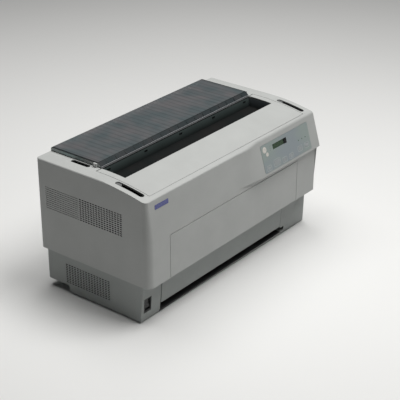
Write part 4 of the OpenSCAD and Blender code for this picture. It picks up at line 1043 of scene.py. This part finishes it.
class PRINTER_OT_exit_cover(Builder):
    """Smoke cover over the paper exit, with its flat lip, ribs and pivot posts"""

    bl_idname = "printer.exit_cover"
    bl_label = "Paper exit cover"

    lip_run = 10 * MM
    lip_foot = 354 * MM
    lip_back = 12 * MM
    # width and height of the solid lip's outer and inner curve, and the slope for each
    lip_curves = ((12 * MM, 9 * MM, 0.0, lip_run), (9.5 * MM, 6.5 * MM, 3.2 * MM, 10.4 * MM))
    wall = 5 * MM
    border = 4 * MM

    def build(self, context):
        dress("paper_exit_cover", "exit_smoke", 0.5 * MM, edge="exit_edge",
              reshape=self.frame_faces)
        trim = context.scene.printer_trim
        self.ribs(trim.stripe_pitch)
        self.lip_ribs(trim.lip_rib_pitch)
        self.bead()
        self.posts()

    def frame_faces(self, cover):
        """Flattens the lip and paints the dark borders and the pale end walls."""
        low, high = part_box("paper_exit_cover")
        end = high.x - self.wall
        border = self.border
        with Reshaping(cover) as form:
            for vert in form.verts:
                vert.co = self.on_flat_lip(vert.co.copy(), low.y)
        inlay(cover, "exit_lip",
              lambda face: face.normal.y < -0.5 and face.normal.z > 0.3
              and face.calc_center_median().y < low.y + self.lip_back, ((0, -end, end),))
        inlay(cover, "exit_light",
              lambda face: abs(face.normal.x) > 0.9
              and abs(abs(face.calc_center_median().x) - end) < NEAR,
              ((2, low.z + 1.3 * MM, high.z - 1.8 * MM),))
        inlay(cover, "exit_edge",
              lambda face: face.normal.z > 0.9
              and abs(face.calc_center_median().z - high.z) < NEAR,
              ((0, -end, -end + border), (0, end - border, end),
               (1, low.y, low.y + self.lip_run + 3 * MM), (1, high.y - border, high.y)))

    def on_flat_lip(self, place, front):
        """Moves a point of the lip's curve, inner or outer, to a straight slope."""
        for run, rise, start, end in self.lip_curves:
            across = (front + self.lip_back - place.y) / run
            up = (place.z - self.lip_foot) / rise
            inside = -0.01 < across < 1.01 and -0.01 < up < 1.01
            if inside and abs(math.hypot(across, up) - 1) < 0.02:
                share = math.degrees(math.atan2(up, across)) / 90
                place.y = front + start + (end - start) * share
                place.z = self.lip_foot + share * rise
                return place
        return place

    def rib_row(self, name, pitch, clear, size, radius, steps, place):
        """A row of equal ribs, clear of the end walls, all turned and placed alike."""
        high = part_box("paper_exit_cover")[1]
        form = bmesh.new()
        count = int((high.x - clear) / pitch)
        for index in range(-count, count + 1):
            along = Matrix.Translation((index * pitch, 0, 0)) @ place
            for vert in rounded_plate(form, size, radius, steps):
                vert.co = along @ vert.co
        ribs = smooth(from_bmesh(name, form, "exit_edge"))
        seat(ribs, "exit_cover")

    def ribs(self, pitch):
        """Low ribs under the top skin, between those of the solid."""
        low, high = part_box("paper_exit_cover")
        size = (1.2 * MM, high.y - low.y - 46 * MM, 2 * MM)
        middle = (0, (low.y + high.y) / 2 + 8 * MM, high.z - 3.6 * MM)
        self.rib_row("exit_cover_ribs", pitch, 20 * MM, size, 0.5 * MM, 2,
                     Matrix.Translation(middle))

    def lip_ribs(self, pitch):
        """Short dark ribs that stand on the sloping lip."""
        low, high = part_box("paper_exit_cover")
        slope = math.atan2(self.lip_run, high.z - self.lip_foot)
        middle = (0, low.y + self.lip_run / 2, (self.lip_foot + high.z) / 2)
        place = Matrix.Translation(middle) @ Matrix.Rotation(-slope, 4, "X")
        size = (2.2 * MM, 1.2 * MM, 8.5 * MM)
        self.rib_row("exit_cover_lip_ribs", pitch, 22 * MM, size, 0.6 * MM, 3, place)

    def bead(self):
        """Pale bead along the lower edge of the front lip, down to the window's rim."""
        low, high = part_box("paper_exit_cover")
        size = (high.x - low.x - 12 * MM, 2.4 * MM, 5.2 * MM)
        place = Matrix.Translation((0, low.y + 1.2 * MM, low.z - 0.2 * MM))
        bead = plate("exit_cover_bead", size, 0.8 * MM, place, "bead", width=0.2 * MM)
        seat(bead, "exit_cover")

    def posts(self):
        """Domed posts over the ends of the exit cover's pins: pale left, black right. The left
        post is a real cap whose pale colour partly stands in for the bright highlight on it, a
        painted highlight.
        """
        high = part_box("paper_exit_cover")[1]
        joint = next(j for j in frame["joints"] if j["child"] == "exit_cover")
        _, y, z = joint["pos_m"]
        outline = [(4.4 * MM, -1.2 * MM), (4.4 * MM, 0.4 * MM), (3.9 * MM, 1.3 * MM),
                   (2.6 * MM, 2.0 * MM), (0, 2.3 * MM)]
        for side, label, finish in ((-1, "left", "post"), (1, "right", "bezel")):
            place = Matrix.Translation((side * (high.x - 0.6 * MM), y, z))
            place @= Matrix.Rotation(math.radians(90 * side), 4, "Y")
            post = turned(f"exit_pivot_post_{label}", outline, place, finish)
            seat(post, "case")


class PRINTER_OT_control_panel(Builder):
    """Membrane, keys, lamps and display of the control panel"""

    bl_idname = "printer.control_panel"
    bl_label = "Control panel"

    display_up = 57 * MM
    # in mm: left end, right end, height and how far it stands out of the film
    display_parts = (
        ("glass", 139.2, 199.8, 13.6, -0.9, "glass", "display_module"),
        ("blank", 139.4, 150.5, 13.8, -0.12, "film", "panel_overlay"),
        ("mask", 199.4, 212.0, 14.4, 0.04, "bezel", "panel_overlay"))
    # in mm: place along the printer, height on the film and radius
    pad_places = ((115, 60, 8.2), (123, 46, 5.4))
    line_margin = 4 * MM
    line_band = 0.9 * MM

    def build(self, context):
        dress("panel_overlay", "film", 0.25 * MM)
        dress("display_module", "bezel", 0)
        for index in range(1, 7):
            dress(f"key_{index}", "key", 0.5 * MM, segments=3)
        dress("indicator_lamps", "lamp", 0.3 * MM)
        face = outer_face("panel_overlay", (0, -1, 0.3))
        self.glass(face)
        self.key_lines(face)
        self.pads(face)

    def on_face(self, face, x, up, out=0.0):
        """Place on the panel: x is the printer's own, up and out run from the film."""
        local = Vector((x - face.translation.x, -out, up))
        return face @ Matrix.Translation(local)

    def glass(self, face):
        """Display glass, the film over its left end and the black border at its right."""
        for label, start, end, height, out, finish, slot in self.display_parts:
            size = ((end - start) * MM, 0.24 * MM, height * MM)
            place = self.on_face(face, (start + end) / 2 * MM, self.display_up, out * MM)
            part = plate(f"display_{label}", size, 0.3 * MM, place, finish, width=0.05 * MM)
            seat(part, "case")

    def key_lines(self, face):
        """Raised outlines around the keys, as pressed into such films."""
        for index in range(1, 7):
            low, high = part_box(f"key_{index}")
            middle = (low + high) / 2
            up = (middle - face.translation).dot(face.col[2].to_3d())
            size = ((high.x - low.x) + self.line_margin, (high.z - low.z) + self.line_margin)
            line = ring_band(f"key_outline_{index}", size, 3.4 * MM, self.line_band, 0.3 * MM,
                             self.on_face(face, middle.x, up, 0.1 * MM), "key_line")
            seat(line, "case")

    def pads(self, face):
        """Two pale round pads at the upper left of the film."""
        for index, (x, up, radius) in enumerate(self.pad_places):
            outline = [(radius * MM, 0), (radius * MM, 0.3 * MM),
                       ((radius - 0.6) * MM, 0.6 * MM), (radius * 0.45 * MM, 0.6 * MM),
                       (radius * 0.35 * MM, 0.3 * MM), (0, 0.3 * MM)]
            place = self.on_face(face, x * MM, up * MM, -0.05 * MM)
            place @= Matrix.Rotation(math.radians(90), 4, "X")
            pad = turned(f"panel_pad_{index + 1}", outline, place, "pale")
            seat(pad, "case")


class PRINTER_OT_trim(Builder):
    """Blank badge plate and the cover's latches in the finger slots"""

    bl_idname = "printer.trim"
    bl_label = "Trim"

    badge_sink = 0.3 * MM
    latch_size = (12.6 * MM, 3 * MM, 16 * MM)
    latch_x = 328.5 * MM
    latch_y = -70.5 * MM
    latch_sink = 4.6 * MM

    def build(self, context):
        trim = context.scene.printer_trim
        edge = FrontEdge(trim)
        size = Vector(trim.badge_size)
        up = trim.badge_foot + size.z / 2
        middle = Vector((trim.badge_left + size.x / 2,
                         edge.front + (up - edge.foot) * edge.lean - self.badge_sink, up))
        place = Matrix.Translation(middle) @ Matrix.Rotation(-math.atan(edge.lean), 4, "X")
        badge = plate("badge_plate", size, 1.6 * MM, place, "badge", width=0.25 * MM)
        seat(badge, "case")
        for side, label in ((-1, "left"), (1, "right")):
            self.latch_tab(label, side * self.latch_x, edge)

    def latch_tab(self, label, x, edge):
        """Sliding latch of the printer cover, at the rear end of its finger slot."""
        y = self.latch_y
        slope = math.atan2(-y, edge.deck_radius)
        place = Matrix.Translation((x, y, edge.deck(y) - self.latch_sink))
        place @= Matrix.Rotation(slope + math.radians(90), 4, "X")
        tab = plate(f"latch_tab_{label}", self.latch_size, 5.8 * MM, place, "latch",
                    width=0.5 * MM)
        seat(tab, "printer_cover")


class PRINTER_OT_power_switch(Builder):
    """Rocker switch in its black well"""

    bl_idname = "printer.power_switch"
    bl_label = "Power switch"
    parts = (("switch_housing", "black", 0.4 * MM), ("switch_rocker", "bezel", 0.5 * MM))


class PRINTER_OT_paper_feed(Builder):
    """Platen, gears, belts, exit roller and tractors"""

    bl_idname = "printer.paper_feed"
    bl_label = "Paper feed"
    parts = (
        ("platen", "platen", 0.6 * MM),
        ("platen_drive", "acetal", 0.15 * MM, 1),
        ("feed_pinion", "brass", 0.12 * MM, 1),
        ("idler_gear", "acetal", 0.12 * MM, 1),
        ("exit_roller", "grey", 0.3 * MM, 1),
        ("front_drive_shaft", "shaft", 0.3 * MM),
        ("rear_drive_shaft", "shaft", 0.3 * MM),
        ("exit_guide", "black", 0.3 * MM))

    def build(self, context):
        super().build(context)
        paint("belt", "feed_belts")
        for end in ("front", "rear"):
            for side in ("left", "right"):
                dress(f"{end}_tractor_{side}", "grey", 0.4 * MM)
                dress(f"{end}_lid_{side}", "black", 0.4 * MM)


class PRINTER_OT_print_head(Builder):
    """Carriage, print head, ribbon cartridge and their drive"""

    bl_idname = "printer.print_head"
    bl_label = "Print head"
    parts = (
        ("carriage", "black", 0.5 * MM),
        ("print_head", "casting", 0.4 * MM),
        ("ribbon_cartridge", "black", 0.6 * MM),
        ("ribbon_knob", "knob", 0.4 * MM),
        ("drive_pulley", "shaft", 0.2 * MM),
        ("tension_pulley", "shaft", 0.2 * MM),
        ("carriage_motor", "motor", 0.5 * MM))

    def build(self, context):
        super().build(context)
        paint("belt", "carriage_belt")


class PRINTER_OT_chassis(Builder):
    """Steel pan, side frames and guide rods"""

    bl_idname = "printer.chassis"
    bl_label = "Chassis"
    parts = (
        ("chassis_pan", "plated", 0.3 * MM),
        ("left_frame", "plated", 0.3 * MM),
        ("right_frame", "plated", 0.3 * MM),
        ("guide_rods", "shaft", 0.3 * MM))


class PRINTER_OT_electrics(Builder):
    """Power supply, board, motor and fan"""

    bl_idname = "printer.electrics"
    bl_label = "Electrical parts"
    parts = (
        ("power_supply", "plated", 0.3 * MM),
        ("main_board", "board", 0),
        ("feed_motor", "motor", 0.5 * MM),
        ("fan_frame", "black", 0.4 * MM),
        ("fan_rotor", "grey", 0.2 * MM))


class PRINTER_OT_studio(Builder):
    """Pale floor, soft lights and the camera"""

    bl_idname = "printer.studio"
    bl_label = "Studio"

    floor_reach = 15
    light_colour = (1.0, 0.99, 0.975)
    light_aim = (0, 0, 0.2)
    surroundings_colour = (0.95, 1.0, 0.98, 1)

    def build(self, context):
        studio = context.scene.printer_studio
        form = bmesh.new()
        bmesh.ops.create_grid(form, x_segments=1, y_segments=1, size=self.floor_reach)
        floor = from_bmesh("floor", form)
        floor.data.materials.append(studio_floor())
        self.light("key_light", (0.5, -1.1, 2.8), 1.5, studio.key_power)
        self.light("overhead_light", (0.2, 0.5, 2.8), 2.2, studio.top_power)
        self.surroundings(context, studio.world_strength)
        self.camera(context, studio)
        context.scene.view_settings.view_transform = "Standard"

    def light(self, name, place, size, power):
        """A square softbox at a place, turned to the printer."""
        data = bpy.data.lights.new(name, "AREA")
        data.size = size
        data.energy = power
        data.color = self.light_colour
        lamp = bpy.data.objects.new(name, data)
        bpy.context.scene.collection.objects.link(lamp)
        lamp.location = place
        aim = Vector(self.light_aim) - Vector(place)
        lamp.rotation_euler = aim.to_track_quat("-Z", "Y").to_euler()

    def surroundings(self, context, strength):
        """Even light from all round."""
        world = bpy.data.worlds.new("surroundings")
        context.scene.world = world
        world.use_nodes = True
        background = world.node_tree.nodes["Background"]
        background.inputs["Color"].default_value = self.surroundings_colour
        background.inputs["Strength"].default_value = strength

    def camera(self, context, studio):
        """The camera of the main view."""
        data = bpy.data.cameras.new("camera")
        data.sensor_width = 36
        data.lens = studio.lens
        data.clip_end = 60
        camera = bpy.data.objects.new("camera", data)
        context.scene.collection.objects.link(camera)
        camera.location = studio.eye
        aim = Vector(studio.target) - Vector(studio.eye)
        camera.rotation_euler = aim.to_track_quat("-Z", "Y").to_euler()
        context.scene.camera = camera


# ---------- the add-on ----------

STEPS = (PRINTER_OT_case, PRINTER_OT_base, PRINTER_OT_doors, PRINTER_OT_printer_cover,
         PRINTER_OT_exit_cover, PRINTER_OT_control_panel, PRINTER_OT_trim,
         PRINTER_OT_power_switch, PRINTER_OT_paper_feed, PRINTER_OT_print_head,
         PRINTER_OT_chassis, PRINTER_OT_electrics, PRINTER_OT_studio)
GROUPS = {"printer_finish": PrinterFinish, "printer_trim": PrinterTrim,
          "printer_studio": PrinterStudio}


class PRINTER_PT_parts(Panel):
    """Lists the printer's pieces and their settings"""

    bl_idname = "PRINTER_PT_parts"
    bl_label = "Dot matrix printer"
    bl_space_type = "VIEW_3D"
    bl_region_type = "UI"
    bl_category = "Printer"

    def draw(self, context):
        for step in STEPS:
            self.layout.operator(step.bl_idname)
        for group, kind in GROUPS.items():
            box = self.layout.box()
            for name in kind.__annotations__:
                box.prop(getattr(context.scene, group), name)


def register():
    """Registers the classes and the settings."""
    for kind in (*GROUPS.values(), *STEPS, PRINTER_PT_parts):
        bpy.utils.register_class(kind)
    for group, kind in GROUPS.items():
        setattr(bpy.types.Scene, group, PointerProperty(type=kind))


def unregister():
    """Takes the settings and the classes away again."""
    for group in GROUPS:
        delattr(bpy.types.Scene, group)
    for kind in (PRINTER_PT_parts, *reversed(STEPS), *reversed(GROUPS.values())):
        bpy.utils.unregister_class(kind)


def main():
    """Makes every piece."""
    register()
    for step in STEPS:
        group, name = step.bl_idname.split(".")
        getattr(getattr(bpy.ops, group), name)()


if __name__ == "__main__":
    main()
